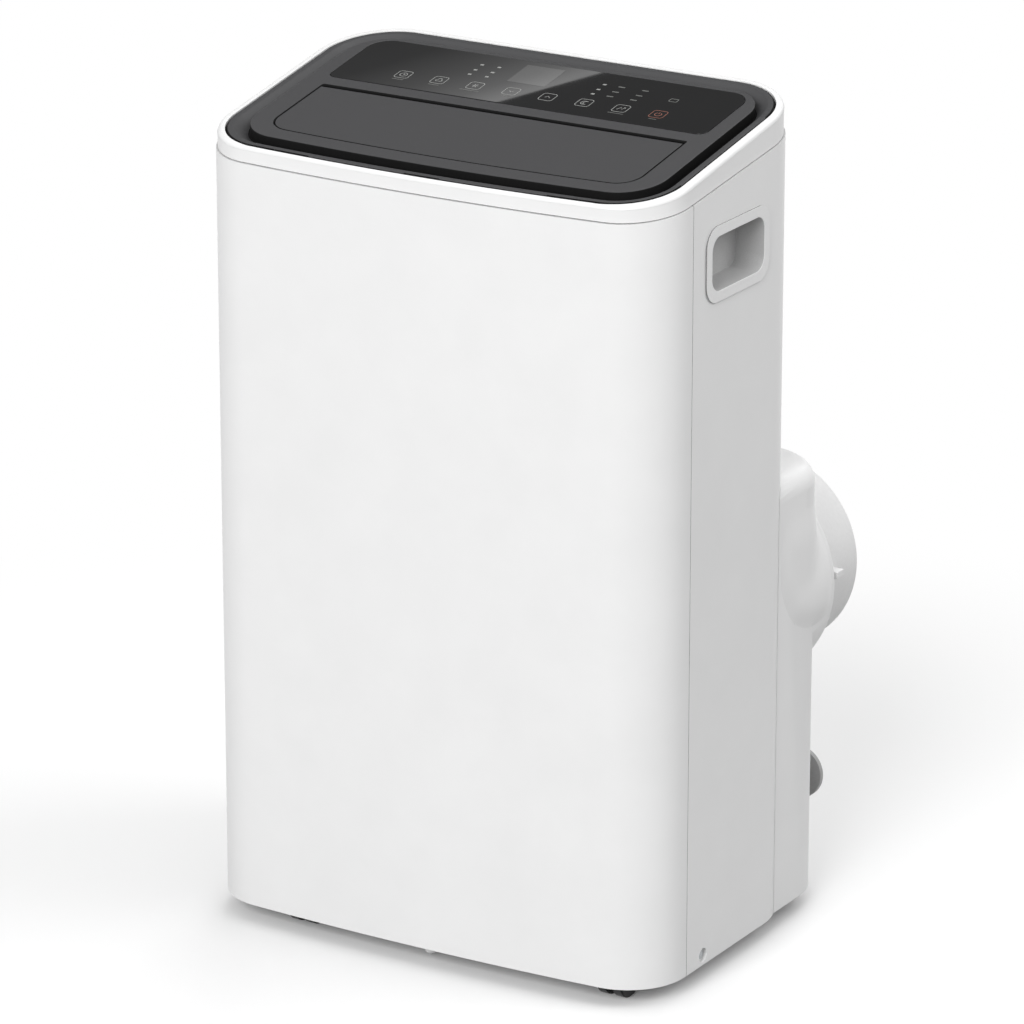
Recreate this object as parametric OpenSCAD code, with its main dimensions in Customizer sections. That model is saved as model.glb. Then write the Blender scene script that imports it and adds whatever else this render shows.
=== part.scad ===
// Portable air conditioner: a tall white cabinet on casters, with an air outlet
// flap and a touch panel in its sloping top, and a hose outlet low on its back.
// Design frame: x to the right, d the depth behind the front face, h the height
// above the cabinet's lower edge. place() puts that frame into the part's own.

/* [Cabinet] */
// Width of the cabinet
body_w = 435; // [415:1:470]
// Depth of the cabinet, from its front face to its upper rear wall
body_d = 257; // [250:1:275]
// Height of the front face, lower edge to seam
body_h = 643; // [640:0.5:700]
// Height of the cabinet's lower edge above the floor
floor_gap = 15; // [13:0.5:18]
// Wall thickness of the moulded shells
wall = 2.8; // [2:0.1:3.4]
// How far the front face bows out between its corners
front_bow = 5; // [3:0.5:8]
// Plan radius of the front corners
front_r = 53; // [45:1:60]
// Plan radius of the rear corners
rear_r = 64; // [50:1:70]
// Depth of the front panel's side returns
panel_d = 62.8; // [58:0.2:75]
// Gap at the seams between shells
seam = 0.6; // [0.4:0.1:1]

/* [Top] */
// Rise of the seam under the top ring, in degrees
seam_rise = 7.34; // [6:0.1:8]
// Rise of the sloping deck, in degrees
deck_rise = 10.04; // [9.5:0.1:11]
// Height of the top ring at the front
ring_h = 13.8; // [10:0.1:16]
// Distance from the cabinet's sides and back to the top ring's inner edge
ring_in = 7.7; // [7:0.1:10]
// Distance from the cabinet's front face to the top ring's inner edge
ring_front = 3.4; // [3.2:0.1:9]
// How far the top ring's wall stands in from the cabinet's
ring_step = 1.4; // [0.6:0.1:1.6]
// Radius of the top ring's rounded upper edge
ring_round = 3.5; // [3:0.5:5]
// Gap between the top ring and the deck's rim
ring_gap = 1.2; // [0.6:0.1:1.6]
// Width of the deck's rim band
rim_w = 5.3; // [4:0.1:7]
// Width of the groove along the deck's sides
groove_w = 10.8; // [8:0.2:12]
// Depth of the groove
groove_depth = 9; // [7:0.5:10]
// Depth position of the raised panel's front edge
plateau_front = 23.5; // [22:0.5:30]
// Depth position of the raised panel's rear edge
plateau_rear = 232.5; // [228:0.5:234]
// Plan radius of the raised panel's corners
plateau_r = 38; // [30:1:42]
// Thickness of the deck's skin
deck_t = 2.8; // [2.4:0.1:3]

/* [Flap] */
// Margin from the raised panel's side to the flap
flap_margin = 22; // [20:0.5:26]
// Depth position of the flap's front edge
flap_front = 40; // [38:0.5:44]
// Depth position of the flap's rear edge
flap_rear = 127; // [122:0.5:128]
// Plan radius of the flap's front corners
flap_r = 20; // [12:1:24]
// Thickness of the flap
flap_t = 2.9; // [2.4:0.1:3.2]
// Gap round the flap's front and sides
flap_gap = 0.6; // [0.4:0.1:1]
// Gap behind the flap, at its hinge
hinge_gap = 4.2; // [4:0.1:5]
// Radius of the flap's hinge pins
pin_r = 2.4; // [2:0.1:2.6]
// Depth of the hinge axis below the deck
hinge_drop = 7.5; // [7.3:0.1:8]

/* [Control panel] */
// Margin from the raised panel's side to the glass
glass_margin = 14.5; // [11:0.5:16]
// Depth position of the glass's front edge
glass_front = 147; // [145:0.5:150]
// Depth position of the glass's rear edge
glass_rear = 227; // [220:0.5:227]
// Plan radius of the glass's rear corners
glass_r = 19; // [10:1:22]
// Thickness of the glass
glass_t = 1.8; // [1.4:0.1:2]
// Number of touch keys
key_count = 8; // [6:1:9]
// Spacing of the touch keys
key_pitch = 34.4; // [30:0.2:36]

/* [Air outlet] */
// Number of swing vanes
vane_count = 6; // [6]
// Spacing of the swing vanes
vane_pitch = 48; // [44:1:50]
// Length of a vane, front to rear
vane_l = 60; // [54:1:62]
// Height of a vane
vane_h = 44; // [40:1:44]
// Distance of a vane's link pin below its pivot
vane_arm = 18; // [17:0.5:19]

/* [Handles] */
// Depth position of a handle's centre
handle_d = 133; // [125:0.5:138]
// Height of a handle's centre
handle_h = 594.5; // [560:0.5:600]
// Length of a handle's bezel
handle_l = 102; // [94:0.5:106]
// Height of a handle's bezel
handle_w = 63; // [56:0.5:66]
// Width of the bezel round the grip opening
bezel_w = 9; // [7:0.5:11]
// Depth of the grip
grip_depth = 25; // [22:0.5:28]

/* [Rear casing] */
// Depth of the rear casing's back face
casing_d = 317; // [310:1:325]
// Height of the rear casing
casing_h = 377; // [368:1:380]
// How far the rear casing's sides stand in from the cabinet's
casing_in = 4.1; // [3.8:0.1:5]
// Plan radius of the rear casing's corners
casing_r = 55; // [50:1:58]
// Radius of its rounded top edge
casing_top_r = 18; // [12:0.5:20]

/* [Hose outlet] */
// Radius of the outlet boss
dome_r = 97.4; // [92:0.2:98]
// Height of the outlet's centre
outlet_h = 261; // [258:0.5:268]
// Inner radius of the hose adaptor
hose_r = 75; // [70:0.5:76]
// Outer radius of the hose adaptor
adaptor_r = 85; // [80:0.5:86]
// Length of the hose adaptor behind the casing
adaptor_l = 57; // [45:1:70]

/* [Casters] */
// Radius of the caster wheels
wheel_r = 18; // [16:0.5:18.5]
// Width of one wheel of a pair
wheel_w = 9.8; // [8:0.2:10.4]
// Gap between the two wheels of a pair
wheel_gap = 4.8; // [4:0.2:6]
// Distance from a caster's pivot to its axle
caster_trail = 14; // [10:1:15]
// Depth position of the front casters' pivots
caster_front = 47.6; // [46:0.2:52]
// Depth position of the rear casters' pivots
caster_rear = 256; // [250:1:262]
// Distance of the right casters' pivots from the cabinet's right side
caster_right = 46.5; // [45:0.5:60]
// Distance of the left casters' pivots from the cabinet's left side
caster_left = 88.5; // [46:0.5:90]

/* [Refrigeration] */
// Radius of the compressor's shell
comp_r = 55; // [48:1:57]
// Height of the compressor's shell
comp_len = 215; // [190:1:220]
// Height of the evaporator coil
evap_len = 240; // [220:1:244]
// Height of the condenser coil
cond_len = 290; // [260:1:300]
// Thickness of the coils, front to rear
coil_t = 30; // [24:1:32]
// Radius of the evaporator's blower wheel
evap_wheel_r = 88; // [80:1:90]
// Radius of the condenser's blower wheel
cond_wheel_r = 82; // [74:1:84]

/* [Hidden] */

$fn = 64;
eps = 0.01;
fit = 0.3;
run_fit = 0.05;
hw = body_w / 2;
front_y = -(casing_d + adaptor_l) / 2;
bow_fn = 720;
plate_t = 2.2;
layer_t = 0.1;
tall = body_h + body_d;

// Radius of the bow, from its rise over the stretch between the corners
bow_half = hw - front_r;
bow_r = (pow(bow_half, 2) + pow(front_bow, 2)) / (2 * front_bow);

// Heights of the two sloping planes at a given depth
function seam_z(d) = body_h + d * tan(seam_rise);
function deck_z(d) = body_h + ring_h + d * tan(deck_rise);

// Deck layout, half widths from the middle
plateau_hw = hw - ring_in - ring_gap - rim_w - groove_w;
flap_hw = plateau_hw - flap_margin;
glass_hw = plateau_hw - glass_margin;
plateau_top = 0.3;
deck_low = -groove_depth - deck_t;

// Flap hinge
hinge_d = flap_rear - 3.2;
hinge_z = deck_z(hinge_d) - hinge_drop;

// Air outlet: the duct under the flap and the vanes in it
duct_hw = flap_hw + 1.6;
duct_h = 600;
duct_rear = flap_rear + 10;
rail_t = 4;
vane_z = duct_h + 22;
vane_d = 101;
vane_t = 1.8;
vane_pin_r = 2;
link_pin_r = 1.5;
link_t = 5;
link_h = 10;

// Upper air path
divider_h = 352;
scroll_front = 62;
scroll_rear = 158;
evap_h = 479;
evap_scroll_r = evap_wheel_r + 30;
motor_len = 44;
motor_r = 46;
shaft_r = 4;
shaft_len = 34;
wheel_set = 10;
coil_hw = hw - 37;
coil_h = divider_h;
evap_d = body_d - 57;
tray_h = 18;

// Lower air path
dome_out = 1.2;
outlet_x = hw - casing_in - dome_r + dome_out;
cond_x = -50;
cond_h = 178;
cond_front = 150;
cond_rear = 245;
cond_top = divider_h - 6;
cond_eye_r = cond_wheel_r - 14;
sleeve_r = hose_r - 3;
cond_d = casing_d - 56;
cond_low = 44;
shell_return = 18;

// Grilles
grille_t = 3;
upper_lo = divider_h + 40;
upper_hi = 604;
upper_hw = hw - 66;
lower_x0 = -hw + casing_in + casing_r + 2;
lower_x1 = outlet_x - dome_r - 15;
lower_lo = 48;
lower_hi = 334;

// Base
pan_t = 3;
pan_lift = 3;
pan_rim = 24;
pan_top = pan_lift + pan_t;
pocket_r = 36;
pocket_top = 2 * wheel_r + 5 - floor_gap;
stem_r = 4;
axle_r = 3;
comp_x = hw - comp_r - 62.5;
comp_d = 92;
comp_h = 48;
mount_r = 75;

module place() translate([0, front_y, floor_gap]) children();

// Extrusions of a drawing in x and h along d, and of one in d and h along x
module along_d(d0, d1) translate([0, d1, 0]) rotate([90, 0, 0]) linear_extrude(d1 - d0) children();
module along_x(x0, x1) translate([x0, 0, 0]) rotate([90, 0, 90]) linear_extrude(x1 - x0) children();

module rod_d(x, h, r, d0, d1) translate([x, d0, h]) rotate([-90, 0, 0]) cylinder(r = r, h = d1 - d0);
module rod_x(d, h, r, x0, x1) translate([x0, d, h]) rotate([0, 90, 0]) cylinder(r = r, h = x1 - x0);
module rod_h(x, d, r, h0, h1) translate([x, d, h0]) cylinder(r = r, h = h1 - h0);
module block(x0, x1, d0, d1, h0, h1) translate([x0, d0, h0]) cube([x1 - x0, d1 - d0, h1 - h0]);

// Rectangle with rounded corners
module round_rect(x0, x1, y0, y1, r) {
    translate([x0 + r, y0]) square([x1 - x0 - 2 * r, y1 - y0]);
    translate([x0, y0 + r]) square([x1 - x0, y1 - y0 - 2 * r]);
    for (x = [x0 + r, x1 - r])
        for (y = [y0 + r, y1 - r])
            translate([x, y]) circle(r);
}

// Plan outline whose front edge follows the cabinet's bow. Each front corner's circle
// stands out by a hair, so that the bow cuts it cleanly instead of touching it.
corner_nip = 0.04;
module bowed(half, d0, d1, rf, rr) {
    arc_r = bow_r - d0;
    cx = half - rf;
    rise = sqrt(pow(arc_r - rf, 2) - cx * cx);
    cy = bow_r - rise - corner_nip;
    tx = cx * arc_r / (arc_r - rf);
    intersection() {
        translate([0, bow_r]) circle(arc_r, $fn = bow_fn);
        union() {
            translate([-tx, d0 - 1]) square([2 * tx, cy - d0 + 2]);
            translate([-half, cy]) square([2 * half, d1 - rr - cy]);
            translate([-half + rr, cy]) square([2 * (half - rr), d1 - cy]);
            for (side = [-1, 1]) {
                translate([side * cx, cy]) circle(rf);
                translate([side * (half - rr), d1 - rr]) circle(rr);
            }
        }
    }
}

module body_outline(inset = 0) {
    bowed(hw - inset, inset, body_d - inset, front_r - inset, rear_r - inset);
}

module casing_outline(inset = 0) {
    half = hw - casing_in - inset;
    r = casing_r - inset;
    translate([-half, panel_d]) square([2 * half, casing_d - inset - r - panel_d]);
    translate([-half + r, panel_d]) square([2 * (half - r), casing_d - inset - panel_d]);
    for (side = [-1, 1])
        translate([side * (half - r), casing_d - inset - r]) circle(r);
}

// Space above the seam plane, and a slab parallel to the deck
module above_seam(lift = 0) {
    translate([0, 0, body_h + lift]) rotate([seam_rise, 0, 0])
        translate([-body_w, -body_w, 0]) cube([2 * body_w, 3 * body_w, tall]);
}
module deck_slab(lo, hi) {
    translate([0, 0, body_h + ring_h]) rotate([deck_rise, 0, 0])
        translate([-body_w, -body_w, lo]) cube([2 * body_w, 3 * body_w, hi - lo]);
}
module deck_piece(lo, hi) {
    intersection() {
        deck_slab(lo, hi);
        translate([0, 0, body_h - body_d / 4]) linear_extrude(body_d) children();
    }
}

// The top ring's inner edge: nearer to the cabinet's at the front than at the sides,
// with front corners almost as round as the cabinet's
module ring_outline(inset = 0) {
    bowed(hw - ring_in - inset, ring_front + inset, body_d - ring_in - inset,
        front_r - 2 - inset, rear_r - ring_in - inset);
}
module plateau_outline(inset = 0) {
    bowed(plateau_hw - inset, plateau_front + inset, plateau_rear - inset,
        plateau_r - inset, plateau_r - inset);
}
module flap_hole_outline() {
    bowed(flap_hw + flap_gap, flap_front - flap_gap, flap_rear + hinge_gap, flap_r + flap_gap, 1.5);
}
module glass_outline(inset = 0) {
    w = glass_hw - inset;
    translate([0, glass_front + inset]) {
        translate([-w, 8]) square([2 * w, glass_rear - glass_front - 2 * inset - glass_r - 8]);
        translate([-w + 8, 0]) square([2 * w - 16, 9]);
        translate([-w + glass_r, 8]) square([2 * (w - glass_r), glass_rear - glass_front - 2 * inset - 8]);
    }
    for (side = [-1, 1]) {
        translate([side * (w - 8), glass_front + inset + 8]) circle(8);
        translate([side * (w - glass_r), glass_rear - inset - glass_r]) circle(glass_r);
    }
}

// ---------------------------------------------------------------- shells

module front_panel() color("white") place() difference() {
    linear_extrude(tall) intersection() {
        difference() {
            body_outline();
            body_outline(wall);
        }
        translate([-hw - 1, -1]) square([body_w + 2, panel_d - seam / 2 + 1]);
    }
    above_seam(-seam / 2);
}

screw_d = 89.6;
screw_h = 8.7;
screw_hole_r = 6;
screw_cup = 6;

module handle_opening(side, grow) {
    translate([side * hw, handle_d, handle_h]) rotate([90, 0, 90])
        translate([0, 0, -wall - 2]) linear_extrude(2 * wall + 4)
            round_rect(-handle_l / 2 + bezel_w / 2 - grow, handle_l / 2 - bezel_w / 2 + grow,
                -handle_w / 2 + bezel_w / 2 - grow, handle_w / 2 - bezel_w / 2 + grow, 15 + grow);
}

module rear_shell() color("white") place() {
    difference() {
        union() {
            linear_extrude(tall) intersection() {
                difference() {
                    body_outline();
                    body_outline(wall);
                }
                translate([-hw - 1, panel_d + seam / 2]) square([body_w + 2, body_d]);
            }
            for (side = [-1, 1])
                rod_x(screw_d, screw_h, screw_hole_r + 2, side > 0 ? hw - screw_cup : -hw + wall / 2,
                    side > 0 ? hw - wall / 2 : -hw + screw_cup);
        }
        above_seam(-seam / 2);
        for (side = [-1, 1]) {
            handle_opening(side, 0);
            rod_x(screw_d, screw_h, screw_hole_r, side > 0 ? hw - screw_cup + 2 : -hw - 1,
                side > 0 ? hw + 1 : -hw + screw_cup - 2);
            rod_x(screw_d, screw_h, 2.3, side > 0 ? hw - screw_cup - 1 : -hw - 1,
                side > 0 ? hw + 1 : -hw + screw_cup + 1);
        }
        block(-upper_hw, upper_hw, body_d - 2 * wall, body_d + 1, upper_lo, upper_hi);
        block(-hw + shell_return, hw - shell_return, body_d - rear_r, body_d + 1, -1, casing_h - 14);
    }
}

// Rear casing's outer form, with its rounded top edge
module casing_form(inset = 0) {
    top = casing_h - inset;
    r = casing_top_r - inset;
    steps = 6;
    translate([0, 0, -inset]) linear_extrude(top - r + inset) casing_outline(inset);
    hull() for (i = [0 : steps]) {
        a = 90 * i / steps;
        translate([0, 0, top - r + r * sin(a) - eps]) linear_extrude(eps)
            casing_outline(inset + r * (1 - cos(a)));
    }
}

// Boss round the hose outlet, with a rounded rear edge
module dome_form(inset = 0) {
    r = dome_r - inset;
    edge = 8 - inset;
    depth = casing_d - inset - cond_rear;
    translate([outlet_x, cond_rear, outlet_h]) rotate([-90, 0, 0]) rotate_extrude($fn = 128) {
        square([r, depth - edge]);
        square([r - edge, depth]);
        translate([r - edge, depth - edge]) intersection() {
            circle(edge);
            square(edge);
        }
    }
}

module rear_casing() color("white") place() difference() {
    union() {
        casing_form();
        dome_form();
    }
    casing_form(wall);
    dome_form(wall);
    translate([0, 0, -1]) linear_extrude(casing_h + 2) body_outline(-run_fit);
    rod_d(outlet_x, outlet_h, hose_r + 3.4, cond_rear, casing_d + 1);
    block(lower_x0, lower_x1, casing_d - 2 * wall, casing_d + 1, lower_lo, lower_hi);
    rod_d(hook_x, hook_h, hook_neck_r + fit, casing_d - casing_r, casing_d + 1);
    rod_d(gland_x, gland_h, gland_r, casing_d - 2 * wall, casing_d + 1);
    rod_d(drain_x, drain_h, drain_r + fit, casing_d - 2 * wall, casing_d + 1);
}

// Cap with a rounded edge, a hair inside the outline that it crowns
cap_in = 0.03;
module round_cap(r) hull() for (a = [0 : 18 : 90])
    deck_piece(r * (sin(a) - 1) - layer_t, r * (sin(a) - 1))
        body_outline(ring_step + cap_in + (r - 0.4) * (1 - cos(a)));

module top_ring() color("white") place() difference() {
    union() {
        intersection() {
            linear_extrude(tall) body_outline(ring_step);
            above_seam(seam / 2);
            deck_slab(-tall, -ring_round);
        }
        round_cap(ring_round);
    }
    deck_piece(-tall, -wall - 1) body_outline(wall);
    deck_piece(-tall, tall) ring_outline();
}

// Groove: its outer wall slopes from the rim down to the foot of the raised panel
module groove_form() hull() {
    deck_piece(0, 1) ring_outline(ring_gap + rim_w);
    deck_piece(-groove_depth, -groove_depth + layer_t) plateau_outline(-0.6);
}

module top_deck() color("#3c3c3d") place() difference() {
    union() {
        difference() {
            deck_piece(deck_low, 0) ring_outline(ring_gap);
            groove_form();
        }
        deck_piece(deck_low, -groove_depth) body_outline(wall + 0.4);
        deck_piece(deck_low, plateau_top) plateau_outline();
    }
    deck_piece(deck_low - 1, plateau_top - deck_t) plateau_outline(deck_t);
    deck_piece(-tall, tall) flap_hole_outline();
    deck_piece(plateau_top - glass_t - 0.1, tall) glass_outline(-0.2);
    deck_piece(-tall, tall) round_rect(-glass_hw + 14, glass_hw - 14, glass_front + 8, glass_rear - 10, 4);
}

module control_glass() color("#202022") place()
    deck_piece(plateau_top - glass_t, plateau_top) glass_outline();

board_gap = 3;
board_t = 1.6;
key_r = 4.5;
module control_board() color("#1d5a36") place() {
    low = plateau_top - glass_t - board_gap - board_t;
    deck_piece(low, low + board_t)
        round_rect(-glass_hw + 15, glass_hw - 15, glass_front + 9, glass_rear - 11, 3);
    for (i = [0 : key_count - 1])
        deck_piece(low + board_t, plateau_top - glass_t - 0.1)
            translate([(i - (key_count - 1) / 2) * key_pitch, glass_front + 22]) circle(key_r);
}

module display_module() color("#8c8c8c") place()
    deck_piece(plateau_top - glass_t - board_gap, plateau_top - glass_t - 0.1)
        round_rect(-27, 10, glass_front + 38, glass_front + 65, 1);

// ---------------------------------------------------------------- outlet

module outlet_flap() color("#404041") place() {
    deck_piece(-flap_t + plateau_top, plateau_top)
        bowed(flap_hw, flap_front, flap_rear, flap_r, 1);
    // Stiffening ribs under the skin
    for (d = [flap_front + 22, flap_front + 54])
        deck_piece(-flap_t - 2.5, -flap_t + 1) translate([-flap_hw + 24, d]) square([2 * flap_hw - 48, 2]);
    for (side = [-1, 1]) {
        x0 = side > 0 ? flap_hw - 3 : -flap_hw;
        difference() {
            union() {
                rod_x(hinge_d, hinge_z, 4.2, x0, x0 + 3);
                block(x0, x0 + 3, hinge_d - 4.2, hinge_d + 2, hinge_z, hinge_z + hinge_drop);
            }
            deck_slab(plateau_top - 1, tall);
        }
    }
    rod_x(hinge_d, hinge_z, pin_r, flap_hw - 1, duct_hw + plate_t);
    rod_x(hinge_d, hinge_z, pin_r, -duct_hw - plate_t - 9, -flap_hw + 1);
}

flap_motor_r = 12;
flap_motor_len = 13;
motor_offset = 7.8;
module flap_motor() color("silver") place() {
    x1 = -duct_hw - plate_t;
    difference() {
        union() {
            rod_x(hinge_d, hinge_z - motor_offset, flap_motor_r, x1 - flap_motor_len, x1);
            for (side = [-1, 1]) {
                block(x1 - 1, x1, hinge_d - 18, hinge_d + 18,
                    hinge_z - motor_offset - 3.5, hinge_z - motor_offset + 3.5);
            }
        }
        rod_x(hinge_d, hinge_z, pin_r + run_fit, x1 - 10, x1 + 1);
        for (side = [-1, 1])
            rod_x(hinge_d + side * 15, hinge_z - motor_offset, 1.6, x1 - 2, x1 + 1);
    }
}

// Side profile of the duct, from the blower's mouth up to the flap
module duct_profile(inset) {
    polygon([[scroll_front + inset, duct_h], [scroll_rear - inset, duct_h],
        [scroll_rear - inset, duct_h + 8], [duct_rear - inset, duct_h + 60],
        [duct_rear - inset, tall], [flap_front - 2 + inset, tall],
        [flap_front - 2 + inset, duct_h + 44], [scroll_front + inset, duct_h + 8]]);
}

module outlet_duct() color("#2c2c2e") place() difference() {
    union() {
        difference() {
            along_x(-duct_hw - plate_t, duct_hw + plate_t) duct_profile(0);
            along_x(-duct_hw, duct_hw) duct_profile(plate_t);
            block(-duct_hw, duct_hw, scroll_front + plate_t, scroll_rear - plate_t, duct_h - 1, duct_h + 1);
        }
        for (end = [-1, 1])
            block(-duct_hw - eps, duct_hw + eps, vane_d + end * (vane_l / 2 + 1 + rail_t / 2) - rail_t / 2,
                vane_d + end * (vane_l / 2 + 1 + rail_t / 2) + rail_t / 2, vane_z - 5, vane_z + 5);
    }
    deck_slab(plateau_top - deck_t - 0.4, tall);
    // Corners kept inside the raised panel's skirt
    deck_piece(deck_low - 1, tall) difference() {
        body_outline();
        plateau_outline(deck_t + 0.4);
    }
    rod_x(hinge_d, hinge_z, pin_r + run_fit, -hw, hw);
    for (i = [0 : vane_count - 1])
        rod_d(vane_x(i), vane_z, vane_pin_r + run_fit, scroll_front + plate_t, scroll_rear - plate_t);
}

function vane_x(i) = (i - (vane_count - 1) / 2) * vane_pitch;

module vane(i) color("#3a3a3c") place() translate([vane_x(i), vane_d, vane_z]) {
    difference() {
        translate([-vane_t / 2, -vane_l / 2, -vane_h / 2]) cube([vane_t, vane_l, vane_h]);
        translate([-vane_t, -link_t / 2 - 0.5, -vane_h / 2 - 1])
            cube([2 * vane_t, link_t + 1, vane_h / 2 + 1 - vane_arm + link_h / 2 + 1]);
    }
    rod_d(0, 0, vane_pin_r, vane_l / 2 - 1, vane_l / 2 + rail_t);
    rod_d(0, 0, vane_pin_r, -vane_l / 2 - rail_t, -vane_l / 2 + 1);
    rod_d(0, -vane_arm, link_pin_r, -link_t / 2 - 1.5, link_t / 2 + 1.5);
}
module vane_1() vane(0);
module vane_2() vane(1);
module vane_3() vane(2);
module vane_4() vane(3);
module vane_5() vane(4);
module vane_6() vane(5);

module vane_link() color("#2b2b2c") place() difference() {
    block(vane_x(0) - 10, vane_x(vane_count - 1) + 10, vane_d - link_t / 2, vane_d + link_t / 2,
        vane_z - vane_arm - link_h / 2, vane_z - vane_arm + link_h / 2);
    for (i = [0 : vane_count - 1])
        block(vane_x(i) - link_pin_r - 0.5, vane_x(i) + link_pin_r + 0.5, vane_d - link_t, vane_d + link_t,
            vane_z - vane_arm - link_pin_r - fit, vane_z - vane_arm + link_pin_r + fit + 1.8);
}

// ---------------------------------------------------------------- handles

module handle(side) place() translate([side * hw, handle_d, handle_h]) mirror([side > 0 ? 0 : 1, 0, 0])
    rotate([90, 0, 90]) difference() {
        union() {
            translate([0, 0, 0.1]) linear_extrude(1.3)
                round_rect(-handle_l / 2, handle_l / 2, -handle_w / 2, handle_w / 2, 17);
            translate([0, 0, -grip_depth - 2]) linear_extrude(grip_depth + 2.2)
                round_rect(-handle_l / 2 + bezel_w / 2 + fit, handle_l / 2 - bezel_w / 2 - fit,
                    -handle_w / 2 + bezel_w / 2 + fit, handle_w / 2 - bezel_w / 2 - fit, 14);
        }
        translate([0, 0, -grip_depth]) linear_extrude(grip_depth + 2)
            round_rect(-handle_l / 2 + bezel_w, handle_l / 2 - bezel_w,
                -handle_w / 2 + bezel_w, handle_w / 2 - bezel_w, 12);
    }
module left_handle() color("#d2d2d2") handle(-1);
module right_handle() color("#d2d2d2") handle(1);

// ---------------------------------------------------------------- grilles

module grille(x0, x1, h0, h1, d, pitch) {
    difference() {
        block(x0 + fit, x1 - fit, d - grille_t, d, h0 + fit, h1 - fit);
        block(x0 + 8, x1 - 8, d - grille_t - 1, d + 1, h0 + 8, h1 - 8);
    }
    count = floor((h1 - h0 - 16) / pitch) - 1;
    step = (h1 - h0 - 16) / (count + 1);
    for (i = [1 : count])
        block(x0 + 7, x1 - 7, d - grille_t, d, h0 + 8 + i * step - 2, h0 + 8 + i * step + 2);
    for (k = [1, 2])
        block(x0 + (x1 - x0) * k / 3 - 2, x0 + (x1 - x0) * k / 3 + 2, d - grille_t, d, h0 + 7, h1 - 7);
}
module upper_grille() color("white") place() grille(-upper_hw, upper_hw, upper_lo, upper_hi, body_d, 11);
module lower_grille() color("white") place() grille(lower_x0, lower_x1, lower_lo, lower_hi, casing_d, 11);

// Filter: a frame with a mesh panel, clipped behind its grille
module filter(x0, x1, h0, h1, d) {
    difference() {
        block(x0 + 1, x1 - 1, d - 4, d, h0 + 1, h1 - 1);
        block(x0 + 6, x1 - 6, d - 5, d + 1, h0 + 6, h1 - 6);
    }
    block(x0 + 5, x1 - 5, d - 2.5, d - 1.5, h0 + 5, h1 - 5);
}
module upper_filter() color("#4a4a4c") place()
    filter(-upper_hw, upper_hw, upper_lo, upper_hi, body_d - grille_t - fit);
module lower_filter() color("#4a4a4c") place()
    filter(lower_x0, lower_x1, lower_lo, lower_hi, casing_d - grille_t - fit);

// ---------------------------------------------------------------- heat exchangers

// Coil: fins on both sides of a core, end plates and return bends
module coil(x0, x1, d0, h0, h1) {
    fins = floor((x1 - x0 - 8) / 6);
    step = (x1 - x0 - 8) / fins;
    rows = floor((h1 - h0 - 20) / 25.4);
    difference() {
        block(x0 + 4, x1 - 4, d0, d0 + coil_t, h0 + 1, h1 - 1);
        for (i = [0 : fins - 1])
            for (d = [d0 - 1, d0 + coil_t / 2 + 2])
                block(x0 + 4 + (i + 0.5) * step - 2, x0 + 4 + (i + 0.5) * step + 2,
                    d, d + coil_t / 2 - 1, h0, h1);
    }
    for (x = [x0, x1 - 4])
        block(x, x + 4, d0 - 2, d0 + coil_t + 2, h0, h1);
    for (i = [0 : rows - 1]) {
        h = h0 + 18 + i * 25.4;
        for (d = [d0 + coil_t / 4, d0 + coil_t * 3 / 4])
            translate([x1 - eps, d, h]) rotate([0, 0, 90]) rotate([90, 0, 0])
                rotate([0, 90, 0]) rotate_extrude(angle = 180, $fn = 32) translate([6.35, 0]) circle(3.5);
    }
}
module evaporator_coil() color("#b0b4b8") place()
    coil(-coil_hw, coil_hw, evap_d, divider_h, divider_h + evap_len);
module condenser_coil() color("#b0b4b8") place() {
    coil(lower_x0 - 6, lower_x1 + 6, cond_d, cond_low, cond_low + cond_len);
    // Feet that stand on the base pan
    for (x = [caster_x(-1) + pocket_r + 11, lower_x1 - 16])
        block(x, x + 18, cond_d + 2, cond_d + coil_t - 2, pan_top, cond_low + 2);
}

// ---------------------------------------------------------------- blowers

// Blower wheel: shaft, back plate with hub, blades and a front ring
module blower_wheel(r, d0, d1) {
    blades = 30;
    rod_d(0, 0, r, d0, d0 + 2.5);
    rod_d(0, 0, 13, d0, d0 + 32);
    rod_d(0, 0, shaft_r, d0 - shaft_len, d0 + 1);
    difference() {
        rod_d(0, 0, r, d1 - 4, d1);
        rod_d(0, 0, r - 5, d1 - 5, d1 + 1);
    }
    for (i = [0 : blades - 1])
        rotate([0, i * 360 / blades, 0]) translate([r - 7, 0, 0]) rotate([0, 35, 0])
            block(-6, 6, d0 + 2, d1 - 3.5, -0.8, 0.8);
}
module evaporator_wheel() color("#e6e6e6") place()
    translate([0, 0, evap_h]) blower_wheel(evap_wheel_r, scroll_front + wheel_set, scroll_rear - 12);
module condenser_wheel() color("#2e2e30") place()
    translate([cond_x, 0, cond_h]) blower_wheel(cond_wheel_r, cond_front + wheel_set, cond_rear - 12);

module fan_motor(d_plate) difference() {
    union() {
        rod_d(0, 0, motor_r, d_plate - motor_len, d_plate);
        rod_d(0, 0, motor_r - 12, d_plate - motor_len - 3, d_plate - motor_len + 1);
    }
    rod_d(0, 0, shaft_r + run_fit, d_plate - shaft_len + wheel_set - 1, d_plate + 1);
}
module evaporator_motor() color("#9a9ea2") place() translate([0, 0, evap_h]) fan_motor(scroll_front);
module condenser_motor() color("#9a9ea2") place()
    translate([cond_x, 0, cond_h]) fan_motor(cond_front);

// Spiral wall of a blower housing, opening out from r0 to r1 through one turn
function spiral(r0, r1, a0, a1) = [for (a = [a0 : 10 : a1])
    (r0 + (r1 - r0) * (a - a0) / (a1 - a0)) * [cos(a), sin(a)]];

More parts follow.
